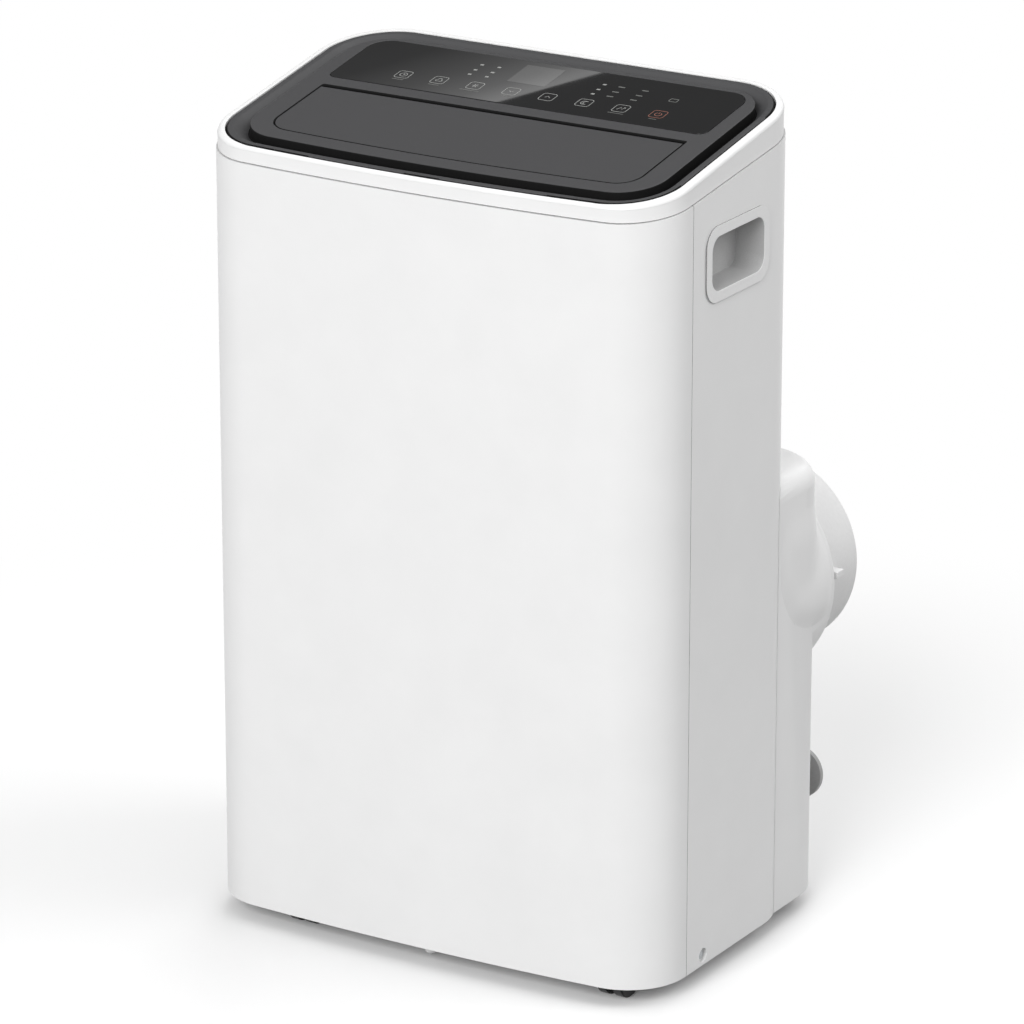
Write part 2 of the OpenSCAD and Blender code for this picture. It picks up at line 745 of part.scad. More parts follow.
module evap_scroll_outline(inset) {
    circle(evap_scroll_r - inset);
    polygon([[-evap_scroll_r + inset, 0], [evap_scroll_r - inset, 0],
        [duct_hw + plate_t - inset, duct_h - evap_h], [-duct_hw - plate_t + inset, duct_h - evap_h]]);
}
module evaporator_scroll() color("#dcdcdc") place() {
    difference() {
        translate([0, 0, evap_h]) along_d(scroll_front, scroll_rear) evap_scroll_outline(0);
        translate([0, 0, evap_h]) along_d(scroll_front + plate_t, scroll_rear - plate_t)
            evap_scroll_outline(plate_t);
        block(-duct_hw, duct_hw, scroll_front + plate_t, scroll_rear - plate_t, duct_h - 6, duct_h + 1);
        rod_d(0, evap_h, evap_wheel_r - 8, scroll_rear - 2 * plate_t, scroll_rear + 1);
        rod_d(0, evap_h, 16, scroll_front - 1, scroll_front + 2 * plate_t);
    }
    // Feet that stand on the drip tray
    for (side = [-1, 1])
        difference() {
            block(side * 60 - 12, side * 60 + 12, scroll_front, scroll_rear, divider_h, evap_h - 80);
            rod_d(0, evap_h, evap_scroll_r - plate_t / 2, scroll_front - 1, scroll_rear + 1);
        }
}

module cond_scroll_outline(inset) {
    r0 = cond_wheel_r + 12 - inset;
    r1 = cond_wheel_r + 40 - inset;
    translate([cond_x, cond_h]) polygon(concat(spiral(r0, r1, -270, 0), [[0, 0]]));
    translate([cond_x, cond_h - 1]) square([r1, outlet_h - hose_r - cond_h]);
    translate([cond_x, outlet_h - hose_r - 4 + inset])
        square([outlet_x + hose_r + 3 - cond_x - inset, cond_top - outlet_h + hose_r + 4 - 2 * inset]);
}
module condenser_scroll() color("#d0d0d0") place() {
    difference() {
        union() {
            along_d(cond_front, cond_rear) cond_scroll_outline(0);
            // Sleeve to the hose outlet
            rod_d(outlet_x, outlet_h, sleeve_r + plate_t, cond_rear - 1, casing_d - 12.6);
        }
        along_d(cond_front + plate_t, cond_rear - plate_t) cond_scroll_outline(plate_t);
        rod_d(cond_x, cond_h, cond_eye_r, cond_rear - 2 * plate_t, cond_rear + 1);
        rod_d(cond_x, cond_h, 16, cond_front - 1, cond_front + 2 * plate_t);
        rod_d(outlet_x, outlet_h, sleeve_r, cond_rear - 2 * plate_t, casing_d);
    }
    // Feet that stand on the base pan
    for (x = [-55, 55])
        difference() {
            block(cond_x + x - 12, cond_x + x + 12, cond_front, cond_front + 50, pan_top, cond_h - 70);
            along_d(cond_front - 1, cond_rear) cond_scroll_outline(plate_t / 2);
        }
}

// ---------------------------------------------------------------- compressor

module compressor() color("#2f3033") place() translate([comp_x, comp_d, 0]) {
    cap = 14;
    difference() {
        union() {
            rod_h(0, 0, comp_r, comp_h + cap, comp_h + comp_len - cap);
            rod_h(0, 0, comp_r - 4, comp_h + cap / 2, comp_h + comp_len - cap / 2);
            rod_h(0, 0, comp_r - 16, comp_h, comp_h + comp_len);
            rod_h(0, 0, mount_r - 14, comp_h + 4, comp_h + 7);
            for (a = [30, 150, 270])
                rotate([0, 0, a]) {
                    block(0, mount_r, -11, 11, comp_h + 4, comp_h + 7);
                    rod_h(mount_r, 0, 11, comp_h + 4, comp_h + 7);
                }
        }
        for (a = [30, 150, 270])
            rotate([0, 0, a]) rod_h(mount_r, 0, 6, comp_h, comp_h + 10);
    }
    rod_h(0, 0, 6, comp_h + comp_len - 1, comp_h + comp_len + 12);
}

// Rubber grommets on the pan's posts, one under each foot of the compressor
module compressor_mounts() color("#1c1c1e") place() translate([comp_x, comp_d, 0])
    for (a = [30, 150, 270])
        rotate([0, 0, a]) difference() {
            union() {
                rod_h(mount_r, 0, 9, comp_h - 8, comp_h + 4);
                rod_h(mount_r, 0, 6 - 0.1, comp_h + 3, comp_h + 8);
                rod_h(mount_r, 0, 9, comp_h + 7, comp_h + 12);
            }
            rod_h(mount_r, 0, 3.5, comp_h - 9, comp_h + 13);
        }

acc_x = comp_x - comp_r - 28;
acc_d = 66;
acc_r = 22;
acc_low = comp_h + 18;
acc_top = comp_h + comp_len * 0.735;
strap_h = comp_h + comp_len * 0.42;
module accumulator() color("#2f3033") place() {
    rod_h(acc_x, acc_d, acc_r, acc_low + 8, acc_top - 8);
    rod_h(acc_x, acc_d, acc_r - 8, acc_low, acc_top);
    // Strap to the compressor's shell
    difference() {
        block(acc_x, comp_x - 20, acc_d - 6, acc_d + 12, strap_h, strap_h + 10);
        rod_h(comp_x, comp_d, comp_r + 0.1, comp_h, comp_h + comp_len);
    }
}

// Copper pipe through a list of points
module pipe(points, r) {
    for (i = [0 : len(points) - 2]) {
        v = points[i + 1] - points[i];
        l = norm(v);
        translate(points[i]) rotate([0, acos(v.z / l), atan2(v.y, v.x)]) cylinder(r = r, h = l, $fn = 24);
    }
    for (i = [1 : len(points) - 2])
        translate(points[i]) sphere(r, $fn = 24);
}
// Copper lines: compressor to condenser, condenser to evaporator, evaporator back to accumulator
pipe_x = -hw + 24;
suction_d = 34;
liquid_d = 120;
liquid_h = cond_low + 66;
module suction_pipe() color("#b87333") place() pipe([
    [acc_x, acc_d, acc_top], [acc_x, acc_d, divider_h - 20],
    [acc_x, suction_d, divider_h - 20], [pipe_x, suction_d, divider_h - 20],
    [pipe_x, suction_d, divider_h + 60], [pipe_x, evap_d + 10, divider_h + 60],
    [-coil_hw, evap_d + 10, divider_h + 60]], 4.8);
module discharge_pipe() color("#b87333") place() pipe([
    [comp_x, comp_d, comp_h + comp_len + 12], [comp_x, comp_d, divider_h - 40],
    [comp_x, cond_front - 16, divider_h - 40], [lower_x0 - 16, cond_front - 16, divider_h - 40],
    [lower_x0 - 16, cond_d + 10, divider_h - 40], [lower_x0 - 6, cond_d + 10, divider_h - 40]], 4);
module liquid_line() color("#b87333") place() pipe([
    [lower_x0 - 6, cond_d + 8, liquid_h], [pipe_x, cond_d + 8, liquid_h],
    [pipe_x, liquid_d, liquid_h], [pipe_x, liquid_d, divider_h + 30],
    [pipe_x, evap_d + 8, divider_h + 30],
    [-coil_hw, evap_d + 8, divider_h + 30]], 3);

// ---------------------------------------------------------------- trays and base

module drip_tray() color("#c8c8c8") place() difference() {
    union() {
        translate([0, 0, divider_h - pan_t]) linear_extrude(pan_t) body_outline(wall + 0.4);
        translate([0, 0, divider_h - 1]) linear_extrude(tray_h) difference() {
            body_outline(wall + 4);
            body_outline(wall + 6.2);
            translate([-hw, 0]) square([body_w, panel_d]);
        }
    }
    for (p = [[pipe_x, suction_d, 6.5], [pipe_x, liquid_d, 4.5]])
        rod_h(p.x, p.y, p.z, divider_h - 2 * pan_t, divider_h + pan_t);
    rod_h(40, body_d - 20, 6, divider_h - 2 * pan_t, divider_h + pan_t);
}

function caster_x(side) = side > 0 ? hw - caster_right : caster_left - hw;

module pan_outline(inset) {
    body_outline(wall + 0.4 + inset);
    intersection() {
        casing_outline(wall + 0.4 + inset);
        translate([-hw, body_d - rear_r]) square([body_w, casing_d]);
    }
}
module pan_area(inset) difference() {
    pan_outline(inset);
    // Slots for the lower ends of the rear shell's corners
    for (side = [-1, 1])
        intersection() {
            difference() {
                body_outline(-0.4 - inset);
                body_outline(wall + 0.4 + inset);
            }
            w = shell_return + 0.4 + inset;
            translate([side > 0 ? hw - w : -hw, body_d - rear_r]) square([w, rear_r + 1]);
        }
}
module base_pan() color("#e8e8e8") place() {
    difference() {
        union() {
            translate([0, 0, pan_lift]) linear_extrude(pan_t) pan_area(0);
            translate([0, 0, pan_lift]) linear_extrude(pan_rim) difference() {
                pan_area(0);
                pan_outline(2.4);
            }
            translate([0, 0, pan_lift]) intersection() {
                linear_extrude(pan_rim + 40) pan_area(0);
                for (side = [-1, 1])
                    for (d = [caster_front, caster_rear]) {
                        rod_h(caster_x(side), d, pocket_r + 2.5, 0, pocket_top + 3 - pan_lift);
                        rod_h(caster_x(side), d, stem_r + 5, 0, pocket_top + 16 - pan_lift);
                    }
            }
            for (a = [30, 150, 270])
                translate([comp_x, comp_d, 0]) rotate([0, 0, a])
                    rod_h(mount_r, 0, 8, pan_lift, comp_h - 8);
            for (a = [30, 150, 270])
                translate([comp_x, comp_d, 0]) rotate([0, 0, a])
                    rod_h(mount_r, 0, 3.4, pan_lift, comp_h + 12);
            // Posts behind the side screws
            for (side = [-1, 1])
                rod_x(screw_d, screw_h, 5, side > 0 ? hw - screw_cup - 12 : -hw + screw_cup + 0.2,
                    side > 0 ? hw - screw_cup - 0.2 : -hw + screw_cup + 12);
            // Rounded stop stud under the front edge
            rod_h(0, stud_d, stud_r, stud_low, pan_lift + 1);
            translate([0, stud_d, stud_low]) sphere(stud_r - 2.6);
        }
        for (side = [-1, 1])
            for (d = [caster_front, caster_rear]) {
                rod_h(caster_x(side), d, pocket_r, 0, pocket_top);
                rod_h(caster_x(side), d, stem_r + run_fit, 0, pocket_top + 14);
            }
        for (side = [-1, 1]) {
            rod_x(screw_d, screw_h, screw_hole_r + 2.4, side > 0 ? hw - screw_cup - 0.2 : -hw,
                side > 0 ? hw : -hw + screw_cup + 0.2);
            rod_x(screw_d, screw_h, 1.9, side > 0 ? hw - screw_cup - 10 : -hw,
                side > 0 ? hw : -hw + screw_cup + 10);
        }
        rod_d(drain_x, drain_h, drain_r + fit, casing_d - 10, casing_d);
    }
}
stud_d = 19.4;
stud_r = 5.5;
stud_low = 5.8 - floor_gap;

// ---------------------------------------------------------------- casters

module caster_yoke(side, d) color("#1b1b1d") place() translate([caster_x(side), d, -floor_gap]) {
    arm_t = wheel_gap - 0.6;
    top = floor_gap + pocket_top;
    difference() {
        union() {
            rod_x(-caster_trail, wheel_r, wheel_r - 5, -arm_t / 2, arm_t / 2);
            block(-arm_t / 2, arm_t / 2, -caster_trail - 6, 6, wheel_r, 2 * wheel_r + 2);
            rod_h(0, 0, 11, 2 * wheel_r + 1, top - 0.4);
            rod_h(0, 0, stem_r, 2 * wheel_r + 1, top + 13);
        }
        rod_x(-caster_trail, wheel_r, axle_r + run_fit, -wheel_gap, wheel_gap);
    }
}
module caster_wheels(side, d) color("#1b1b1d") place()
    translate([caster_x(side), d - caster_trail, wheel_r - floor_gap]) {
        half = wheel_gap / 2;
        rod_x(0, 0, axle_r, -half - 1, half + 1);
        for (s = [-1, 1])
            translate([s > 0 ? half : -half - wheel_w, 0, 0]) {
                rod_x(0, 0, wheel_r, 1.2, wheel_w - 1.2);
                rod_x(0, 0, wheel_r - 1.2, 0, wheel_w);
            }
    }
module caster_yoke_fl() caster_yoke(-1, caster_front);
module caster_yoke_fr() caster_yoke(1, caster_front);
module caster_yoke_rl() caster_yoke(-1, caster_rear);
module caster_yoke_rr() caster_yoke(1, caster_rear);
module caster_wheels_fl() caster_wheels(-1, caster_front);
module caster_wheels_fr() caster_wheels(1, caster_front);
module caster_wheels_rl() caster_wheels(-1, caster_rear);
module caster_wheels_rr() caster_wheels(1, caster_rear);

// ---------------------------------------------------------------- electrics

box_x0 = -hw + 34;
box_x1 = -75;
box_d0 = 18;
box_d1 = 84;
box_h0 = 70;
box_h1 = 290;
capacitor_r = 20;
capacitor_l = 88;
module control_box() color("#b9bcc0") place() difference() {
    union() {
        block(box_x0, box_x1, box_d0, box_d1, box_h0, box_h1);
        // Stand on the base pan, at each side of the caster's pocket
        for (x = [box_x0, box_x1 - 8])
            block(x, x + 8, box_d0 + 6, box_d1 - 6, pan_top, box_h0 + 1);
    }
    block(box_x0 + 1.5, box_x1 - 1.5, box_d0 - 1, box_d1 - 1.5, box_h0 + 1.5, box_h1 - 1.5);
    rod_h(box_x1 - 20, 60, 8, box_h0 - 1, box_h0 + 3);
}
module control_box_cover() color("#c4c7ca") place()
    block(box_x0, box_x1, box_d0 - 1.8, box_d0 - 0.3, box_h0, box_h1);
module run_capacitor() color("#d8d8dc") place()
    rod_h((box_x0 + box_x1) / 2, (box_d0 + box_d1) / 2, capacitor_r, box_h0 + 1.6, box_h0 + 1.6 + capacitor_l);

splash_x = 35.5 - hw;
splash_d = 205;
splash_r = 15;
splash_h = 36;
splash_plate = 57;
splash_shaft = 2;
module splash_motor() color("#8f9396") place() {
    rod_h(splash_x, splash_d, splash_r + 3, splash_plate + 3, splash_plate + 29);
    block(splash_x - 26, splash_x + 26, splash_d - 8, splash_d + 8, splash_plate, splash_plate + 3);
    for (s = [-1, 1])
        rod_h(splash_x + s * 22, splash_d, 4, pan_top, splash_plate + 0.1);
    rod_h(splash_x, splash_d, splash_shaft, splash_h - 4, splash_plate + 3);
}
module splash_wheel() color("#2a2a2c") place() difference() {
    union() {
        rod_h(splash_x, splash_d, splash_r, splash_h, splash_h + 4);
        rod_h(splash_x, splash_d, 6, splash_h - 16, splash_h + 14);
    }
    rod_h(splash_x, splash_d, splash_shaft + run_fit, splash_h - 6, splash_h + 15);
}

// ---------------------------------------------------------------- rear fittings

latch_l = 12;
module hose_adaptor() color("white") place() {
    difference() {
        union() {
            rod_d(outlet_x, outlet_h, adaptor_r, casing_d + fit, casing_d + adaptor_l);
            rod_d(outlet_x, outlet_h, hose_r + 3, casing_d - 12, casing_d + 1);
        }
        rod_d(outlet_x, outlet_h, hose_r, casing_d - 13, casing_d + adaptor_l + 1);
    }
    translate([outlet_x + adaptor_r - 2, casing_d + 4, outlet_h + 2.5]) cube([11.5, latch_l, 6]);
}

hook_x = hw - 44.7;
hook_h = 81.7;
hook_r = 23.2;
hook_neck_r = 12;
module cord_hook() color("#a3a3a3") place() {
    rod_d(hook_x, hook_h, hook_r, casing_d + 10, casing_d + 14.5);
    rod_d(hook_x, hook_h, hook_neck_r, casing_d - 11, casing_d + 11);
}

gland_x = 96;
gland_h = 42;
gland_r = 9;
module cord_gland() color("#232325") place() difference() {
    union() {
        rod_d(gland_x, gland_h, gland_r - 0.2, casing_d - wall - 4, casing_d + 1);
        rod_d(gland_x, gland_h, gland_r + 3, casing_d + 0.2, casing_d + 4);
    }
    rod_d(gland_x, gland_h, 4, casing_d - 10, casing_d + 5);
}

drain_x = 40;
drain_h = 17;
drain_r = 8;
module drain_plug() color("#c9c9cb") place() {
    rod_d(drain_x, drain_h, drain_r, casing_d - 8, casing_d + 1);
    rod_d(drain_x, drain_h, 12, casing_d + 0.3, casing_d + 6);
}

module casing_screws() color("#8a8d90") place()
    for (side = [-1, 1]) {
        head = side > 0 ? hw - screw_cup + 2.1 : -hw + screw_cup - 2.1;
        rod_x(screw_d, screw_h, 4, min(head, head + side * 1.8), max(head, head + side * 1.8));
        rod_x(screw_d, screw_h, 1.8, side > 0 ? head - 11 : head - eps, side > 0 ? head + eps : head + 11);
    }

front_panel();
rear_shell();
rear_casing();
top_ring();
top_deck();
control_glass();
control_board();
display_module();
outlet_flap();
flap_motor();
outlet_duct();
vane_1();
vane_2();
vane_3();
vane_4();
vane_5();
vane_6();
vane_link();
left_handle();
right_handle();
upper_grille();
upper_filter();
lower_grille();
lower_filter();
evaporator_coil();
evaporator_scroll();
evaporator_wheel();
evaporator_motor();
condenser_coil();
condenser_scroll();
condenser_wheel();
condenser_motor();
compressor();
compressor_mounts();
accumulator();
suction_pipe();
discharge_pipe();
liquid_line();
drip_tray();
base_pan();
caster_yoke_fl();
caster_yoke_fr();
caster_yoke_rl();
caster_yoke_rr();
caster_wheels_fl();
caster_wheels_fr();
caster_wheels_rl();
caster_wheels_rr();
control_box();
control_box_cover();
run_capacitor();
hose_adaptor();
drain_plug();
cord_hook();
cord_gland();
casing_screws();
splash_motor();
splash_wheel();
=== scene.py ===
"""Dresses the portable air conditioner in its finishes and lights it in a plain studio."""

import math

import bmesh
import bpy
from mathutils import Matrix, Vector
from mathutils.bvhtree import BVHTree


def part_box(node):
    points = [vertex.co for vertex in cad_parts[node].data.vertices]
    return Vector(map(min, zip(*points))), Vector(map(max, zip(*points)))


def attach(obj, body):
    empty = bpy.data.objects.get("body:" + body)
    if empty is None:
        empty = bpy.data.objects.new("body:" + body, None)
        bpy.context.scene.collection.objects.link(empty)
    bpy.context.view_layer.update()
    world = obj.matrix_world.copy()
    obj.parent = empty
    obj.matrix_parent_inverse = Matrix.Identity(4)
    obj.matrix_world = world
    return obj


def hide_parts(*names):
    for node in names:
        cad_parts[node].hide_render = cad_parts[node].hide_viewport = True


MM = 0.001
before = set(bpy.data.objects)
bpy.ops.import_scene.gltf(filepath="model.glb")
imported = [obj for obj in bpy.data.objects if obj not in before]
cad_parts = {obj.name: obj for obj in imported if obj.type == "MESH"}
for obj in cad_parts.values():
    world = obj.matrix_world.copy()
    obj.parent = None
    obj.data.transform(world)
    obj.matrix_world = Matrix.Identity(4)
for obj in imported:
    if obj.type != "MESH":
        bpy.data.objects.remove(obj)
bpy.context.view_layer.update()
scene = bpy.context.scene

# Where the cabinet stands in the row frame: its front face and its lower edge
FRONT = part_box("front_panel")[0].y
LOWER_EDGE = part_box("front_panel")[0].z

# The sloping deck: its rise, its upward normal, and the highest corner of the glass
DECK_RISE = math.radians(10.04)
DECK_UP = Vector((0, -math.sin(DECK_RISE), math.cos(DECK_RISE)))
GLASS_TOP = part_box("control_glass")[1]


def at(x, depth, height):
    """A point x mm right of the middle, depth mm behind the front, height mm above the lower edge."""
    return Vector((x * MM, FRONT + depth * MM, LOWER_EDGE + height * MM))


def on_deck(x, depth, lift=0.0):
    """A point on the deck's slope, lift mm above the face of the glass."""
    y = FRONT + depth * MM
    z = GLASS_TOP.z + (y - GLASS_TOP.y) * math.tan(DECK_RISE)
    return Vector((x * MM, y, z)) + DECK_UP * lift * MM


# ---------------------------------------------------------------- materials


def linear(code):
    """The linear colour of an sRGB hex code."""
    channels = [int(code[i : i + 2], 16) / 255 for i in (1, 3, 5)]
    return [c / 12.92 if c <= 0.04045 else ((c + 0.055) / 1.055) ** 2.4 for c in channels] + [1.0]


def add(tree, kind, settings=None, links=None):
    """Adds a node, sets its sockets or properties, and links its inputs from (node, output)."""
    made = tree.nodes.new(kind)
    for key, value in (settings or {}).items():
        if isinstance(key, int) or key in made.inputs:
            made.inputs[key].default_value = value
        else:
            setattr(made, key, value)
    for key, (source, output) in (links or {}).items():
        tree.links.new(source.outputs[output], made.inputs[key])
    return made


def surface(
    name, low, high, roughness, grain_mm, bump_mm=0.0, spread=0.04, stretch=(1, 1, 1), **shader
):
    """A finish whose colour drifts between two hex codes over the grain's size, with a fine relief."""
    made = bpy.data.materials.new(name)
    made.use_nodes = True
    tree = made.node_tree
    tree.nodes.clear()
    place = add(tree, "ShaderNodeTexCoord")
    drawn = add(tree, "ShaderNodeMapping", {"Scale": stretch}, {"Vector": (place, "Object")})
    noise = add(
        tree,
        "ShaderNodeTexNoise",
        {"Scale": 1 / (grain_mm * MM), "Detail": 3.0, "Roughness": 0.55},
        {"Vector": (drawn, "Vector")},
    )
    colour = add(tree, "ShaderNodeValToRGB", links={"Fac": (noise, "Fac")})
    colour.color_ramp.elements[0].position, colour.color_ramp.elements[1].position = 0.3, 0.7
    colour.color_ramp.elements[0].color = linear(low)
    colour.color_ramp.elements[1].color = linear(high)
    rough = add(
        tree,
        "ShaderNodeMapRange",
        {"To Min": roughness - spread, "To Max": roughness + spread},
        {"Value": (noise, "Fac")},
    )
    body = add(
        tree,
        "ShaderNodeBsdfPrincipled",
        shader,
        {"Base Color": (colour, "Color"), "Roughness": (rough, "Result")},
    )
    if bump_mm:
        relief = add(
            tree,
            "ShaderNodeBump",
            {"Strength": 0.5, "Distance": bump_mm * MM},
            {"Height": (noise, "Fac")},
        )
        tree.links.new(relief.outputs["Normal"], body.inputs["Normal"])
    add(tree, "ShaderNodeOutputMaterial", links={"Surface": (body, "BSDF")})
    return made


# Moulded ABS from a polished tool: bright white with a soft sheen
white_abs = surface("white_abs", "#f0f0f0", "#f3f3f3", 0.36, 60, IOR=1.5)
# The same resin with a finer spark finish, on the fittings at the back
white_abs_satin = surface("white_abs_satin", "#ededed", "#f1f1f1", 0.44, 3, 0.01, IOR=1.5)
# Spark-eroded ABS in charcoal: even and matt, with a faint grain
charcoal_abs = surface("charcoal_abs", "#3a3a3c", "#3f3f40", 0.5, 0.6, 0.02, IOR=1.5)
# The flap's moulding comes from another tool, a touch smoother
charcoal_flap = surface("charcoal_flap", "#3a3a3c", "#3e3e3f", 0.46, 0.6, 0.015, IOR=1.5)
# Painted shade: near-black on the walls of the deck's groove and gaps and on the flap's sides, standing
# in for the shade deep in them; very matt, so that hardly anything glances off it
painted_shade_black = surface("painted_shade_black", "#0e0e0e", "#131313", 0.7, 2, 0.01, IOR=1.2)
# Polished smoked acrylic: black, with a clear mirror gloss
smoked_acrylic = surface("smoked_acrylic", "#0b0b0c", "#0e0e0f", 0.015, 40, 0.0, 0.01, IOR=1.49)
# The same sheet with a thinner backing of ink over the display
window_acrylic = surface("window_acrylic", "#3c3c3c", "#404040", 0.015, 6, 0.0, 0.01, IOR=1.49)
# Pale grey ABS of the grips, from a smooth tool
grip_abs = surface("grip_abs", "#f0f0f0", "#f3f3f3", 0.36, 2, 0.01, IOR=1.5)
# The same moulding in the cup, with a coarse spark texture, painted darker as shade inside the recess
grip_cup_painted_shade = surface("grip_cup_painted_shade", "#bebebe", "#c6c6c6", 0.5, 1.2, 0.03, IOR=1.5)
# Painted shade on the edges inside the shells' joints and on the wall round each grip's flange: grey
# standing in for the shade in the gaps
joint_painted_shade = surface("joint_painted_shade", "#7c7c7c", "#868686", 0.7, 2, 0.01, IOR=1.5)
# Lighter painted shade on the same edges under the top ring and on the ring's lower edge, where the
# seam's shade is fainter
ring_painted_shade = surface("ring_painted_shade", "#c2c2c2", "#cccccc", 0.6, 2, 0.01, IOR=1.5)
# Black moulded plastic inside the air path
black_abs = surface("black_abs", "#161617", "#1b1b1c", 0.55, 1.5, 0.02, IOR=1.5)
# Glass-filled nylon of the caster yokes and wheels: deep black, slightly glossy
black_nylon = surface("black_nylon", "#0d0d0e", "#131314", 0.38, 2.5, 0.01, IOR=1.53)
# Natural polypropylene of the scrolls, wheel and tray: milky white
milky_pp = surface("milky_pp", "#cfcfcd", "#dadad8", 0.45, 12, 0.0, IOR=1.49)
# Mid grey ABS of the cord peg and the drain plug
grey_abs = surface("grey_abs", "#a6a6a6", "#adadad", 0.45, 3, 0.01, IOR=1.5)
# Moulded frame of the filters: dark grey polypropylene
filter_frame_pp = surface("filter_frame_pp", "#38383a", "#444446", 0.6, 2.0, 0.01, IOR=1.49)
# Woven nylon net of the filters, drawn with a 3 mm mesh so that it shows
filter_nylon = surface("filter_nylon", "#4d4e50", "#5a5b5d", 0.55, 1.0, 0.0, IOR=1.53)
# Rolled aluminium of the fins: bright, with the streaks of rolling along their height
ROLLED = (1, 1, 0.1)
fin_aluminium = surface("fin_aluminium", "#b4b6b8", "#cbcdcf", 0.36, 5, stretch=ROLLED, Metallic=1.0)
# Drawn copper tube, dulled by handling
copper_tube = surface("copper_tube", "#9a5b3a", "#c07a4f", 0.34, 9, 0.0, 0.08, Metallic=1.0)
# Zinc-plated steel of the motors and screws
zinc_steel = surface("zinc_steel", "#9b9ea1", "#b3b6b8", 0.33, 5, 0.01, 0.08, Metallic=1.0)
# Galvanised sheet of the control box, with its large spangle
galvanised = surface("galvanised", "#9aa0a4", "#bcc1c4", 0.42, 14, 0.0, 0.1, Metallic=1.0)
# Black enamel over the compressor's rough pressing
black_enamel = surface("black_enamel", "#141415", "#1c1c1e", 0.3, 4, 0.05, 0.06, IOR=1.5)
# Moulded rubber of the compressor's mounts
mount_rubber = surface("mount_rubber", "#101010", "#171717", 0.75, 2, 0.03, IOR=1.52)
# Green solder mask over the board's copper
solder_mask = surface("solder_mask", "#15512f", "#1c6a3e", 0.32, 5, 0.01, IOR=1.5)
# Milky polycarbonate over the display's digits
diffuser = surface("diffuser", "#8a8a8a", "#939393", 0.5, 4, 0.0, IOR=1.58)
# Screen-printed white ink behind the glass
white_ink = surface("white_ink", "#8f908e", "#a0a19f", 0.1, 3, 0.0, 0.01, IOR=1.49)
# The same ink, printed thin
faint_ink = surface("faint_ink", "#636462", "#6d6e6c", 0.1, 3, 0.0, 0.01, IOR=1.49)
# Red ink of the power key
red_ink = surface("red_ink", "#8c5c50", "#9a6658", 0.1, 3, 0.0, 0.01, IOR=1.49)


FINISH = {
    "front_panel": white_abs,
    "rear_shell": white_abs,
    "rear_casing": white_abs,
    "top_ring": white_abs,
    "top_deck": charcoal_abs,
    "control_glass": smoked_acrylic,
    "control_board": solder_mask,
    "display_module": diffuser,
    "outlet_flap": charcoal_flap,
    "flap_motor": zinc_steel,
    "outlet_duct": black_abs,
    "vane_link": black_abs,
    "left_handle": grip_abs,
    "right_handle": grip_abs,
    "upper_grille": white_abs_satin,
    "lower_grille": white_abs_satin,
    "upper_filter": filter_frame_pp,
    "lower_filter": filter_frame_pp,
    "evaporator_coil": fin_aluminium,
    "evaporator_scroll": milky_pp,
    "evaporator_wheel": milky_pp,
    "evaporator_motor": zinc_steel,
    "condenser_coil": fin_aluminium,
    "condenser_scroll": milky_pp,
    "condenser_wheel": black_abs,
    "condenser_motor": zinc_steel,
    "compressor": black_enamel,
    "compressor_mounts": mount_rubber,
    "accumulator": black_enamel,
    "suction_pipe": copper_tube,
    "discharge_pipe": copper_tube,
    "liquid_line": copper_tube,
    "drip_tray": milky_pp,
    "base_pan": white_abs_satin,
    "control_box": galvanised,
    "control_box_cover": galvanised,
    "run_capacitor": fin_aluminium,
    "hose_adaptor": white_abs_satin,
    "drain_plug": grey_abs,
    "cord_hook": grey_abs,
    "cord_gland": mount_rubber,
    "casing_screws": zinc_steel,
    "splash_motor": zinc_steel,
    "splash_wheel": black_abs,
}
for number in range(1, 7):
    FINISH[f"vane_{number}"] = black_abs
for corner in ("fl", "fr", "rl", "rr"):
    FINISH[f"caster_yoke_{corner}"] = black_nylon
    FINISH[f"caster_wheels_{corner}"] = black_nylon

for name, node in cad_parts.items():
    node.data.materials.clear()
    node.data.materials.append(FINISH[name])


# ---------------------------------------------------------------- pieces


def piece(name, mesh, body, finishes):
    """A finished mesh as a piece that rides on a body."""
    made = bpy.data.objects.new(name, mesh)
    scene.collection.objects.link(made)
    mesh.materials.clear()
    for finish in finishes:
        mesh.materials.append(finish)
    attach(made, body)
    return made


def merged(node):
    """A copy of a CAD mesh with its loose triangles joined into whole faces."""
    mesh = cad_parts[node].data.copy()
    work = bmesh.new()
    work.from_mesh(mesh)
    bmesh.ops.remove_doubles(work, verts=work.verts, dist=2e-6)
    bmesh.ops.dissolve_limit(work, angle_limit=math.radians(0.3), verts=work.verts, edges=work.edges)
    for face in work.faces:
        face.smooth = True
    work.to_mesh(mesh)
    work.free()
    if "custom_normal" in mesh.attributes:
        mesh.attributes.remove(mesh.attributes["custom_normal"])
    return mesh


def settled(made):
    """The plain mesh of an object with its modifiers worked out; the object is removed."""
    bpy.context.view_layer.update()
    shown = made.evaluated_get(bpy.context.evaluated_depsgraph_get())
    mesh = bpy.data.meshes.new_from_object(shown)
    bpy.data.objects.remove(made)
    return mesh


def eased(node, width_mm, body="cabinet", angle=32, others=()):
    """Stands in for a moulded node, with its sharp edges eased.

    others holds (finish, test) pairs: a face whose centre and normal pass a test takes that finish.
    """
    made = bpy.data.objects.new(node + "_form", merged(node))
    scene.collection.objects.link(made)
    bevel = made.modifiers.new("edges", "BEVEL")
    bevel.width = width_mm * MM
    bevel.segments = 2
    bevel.limit_method = "ANGLE"
    bevel.angle_limit = math.radians(angle)
    bevel.use_clamp_overlap = False
    bevel.harden_normals = True
    mesh = settled(made)
    finishes = [FINISH[node]] + [finish for finish, test in others]
    moulding = piece(node + "_moulding", mesh, body, finishes)
    for face in mesh.polygons:
        for index, (finish, test) in enumerate(others, 1):
            if test(face.center, face.normal):
                face.material_index = index
    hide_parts(node)
    return moulding


# The moulded shells' joints: depth of the upright one, and the lowest that the top one reaches
PANEL_SEAM = 62.8
TOP_SEAM = 640.0
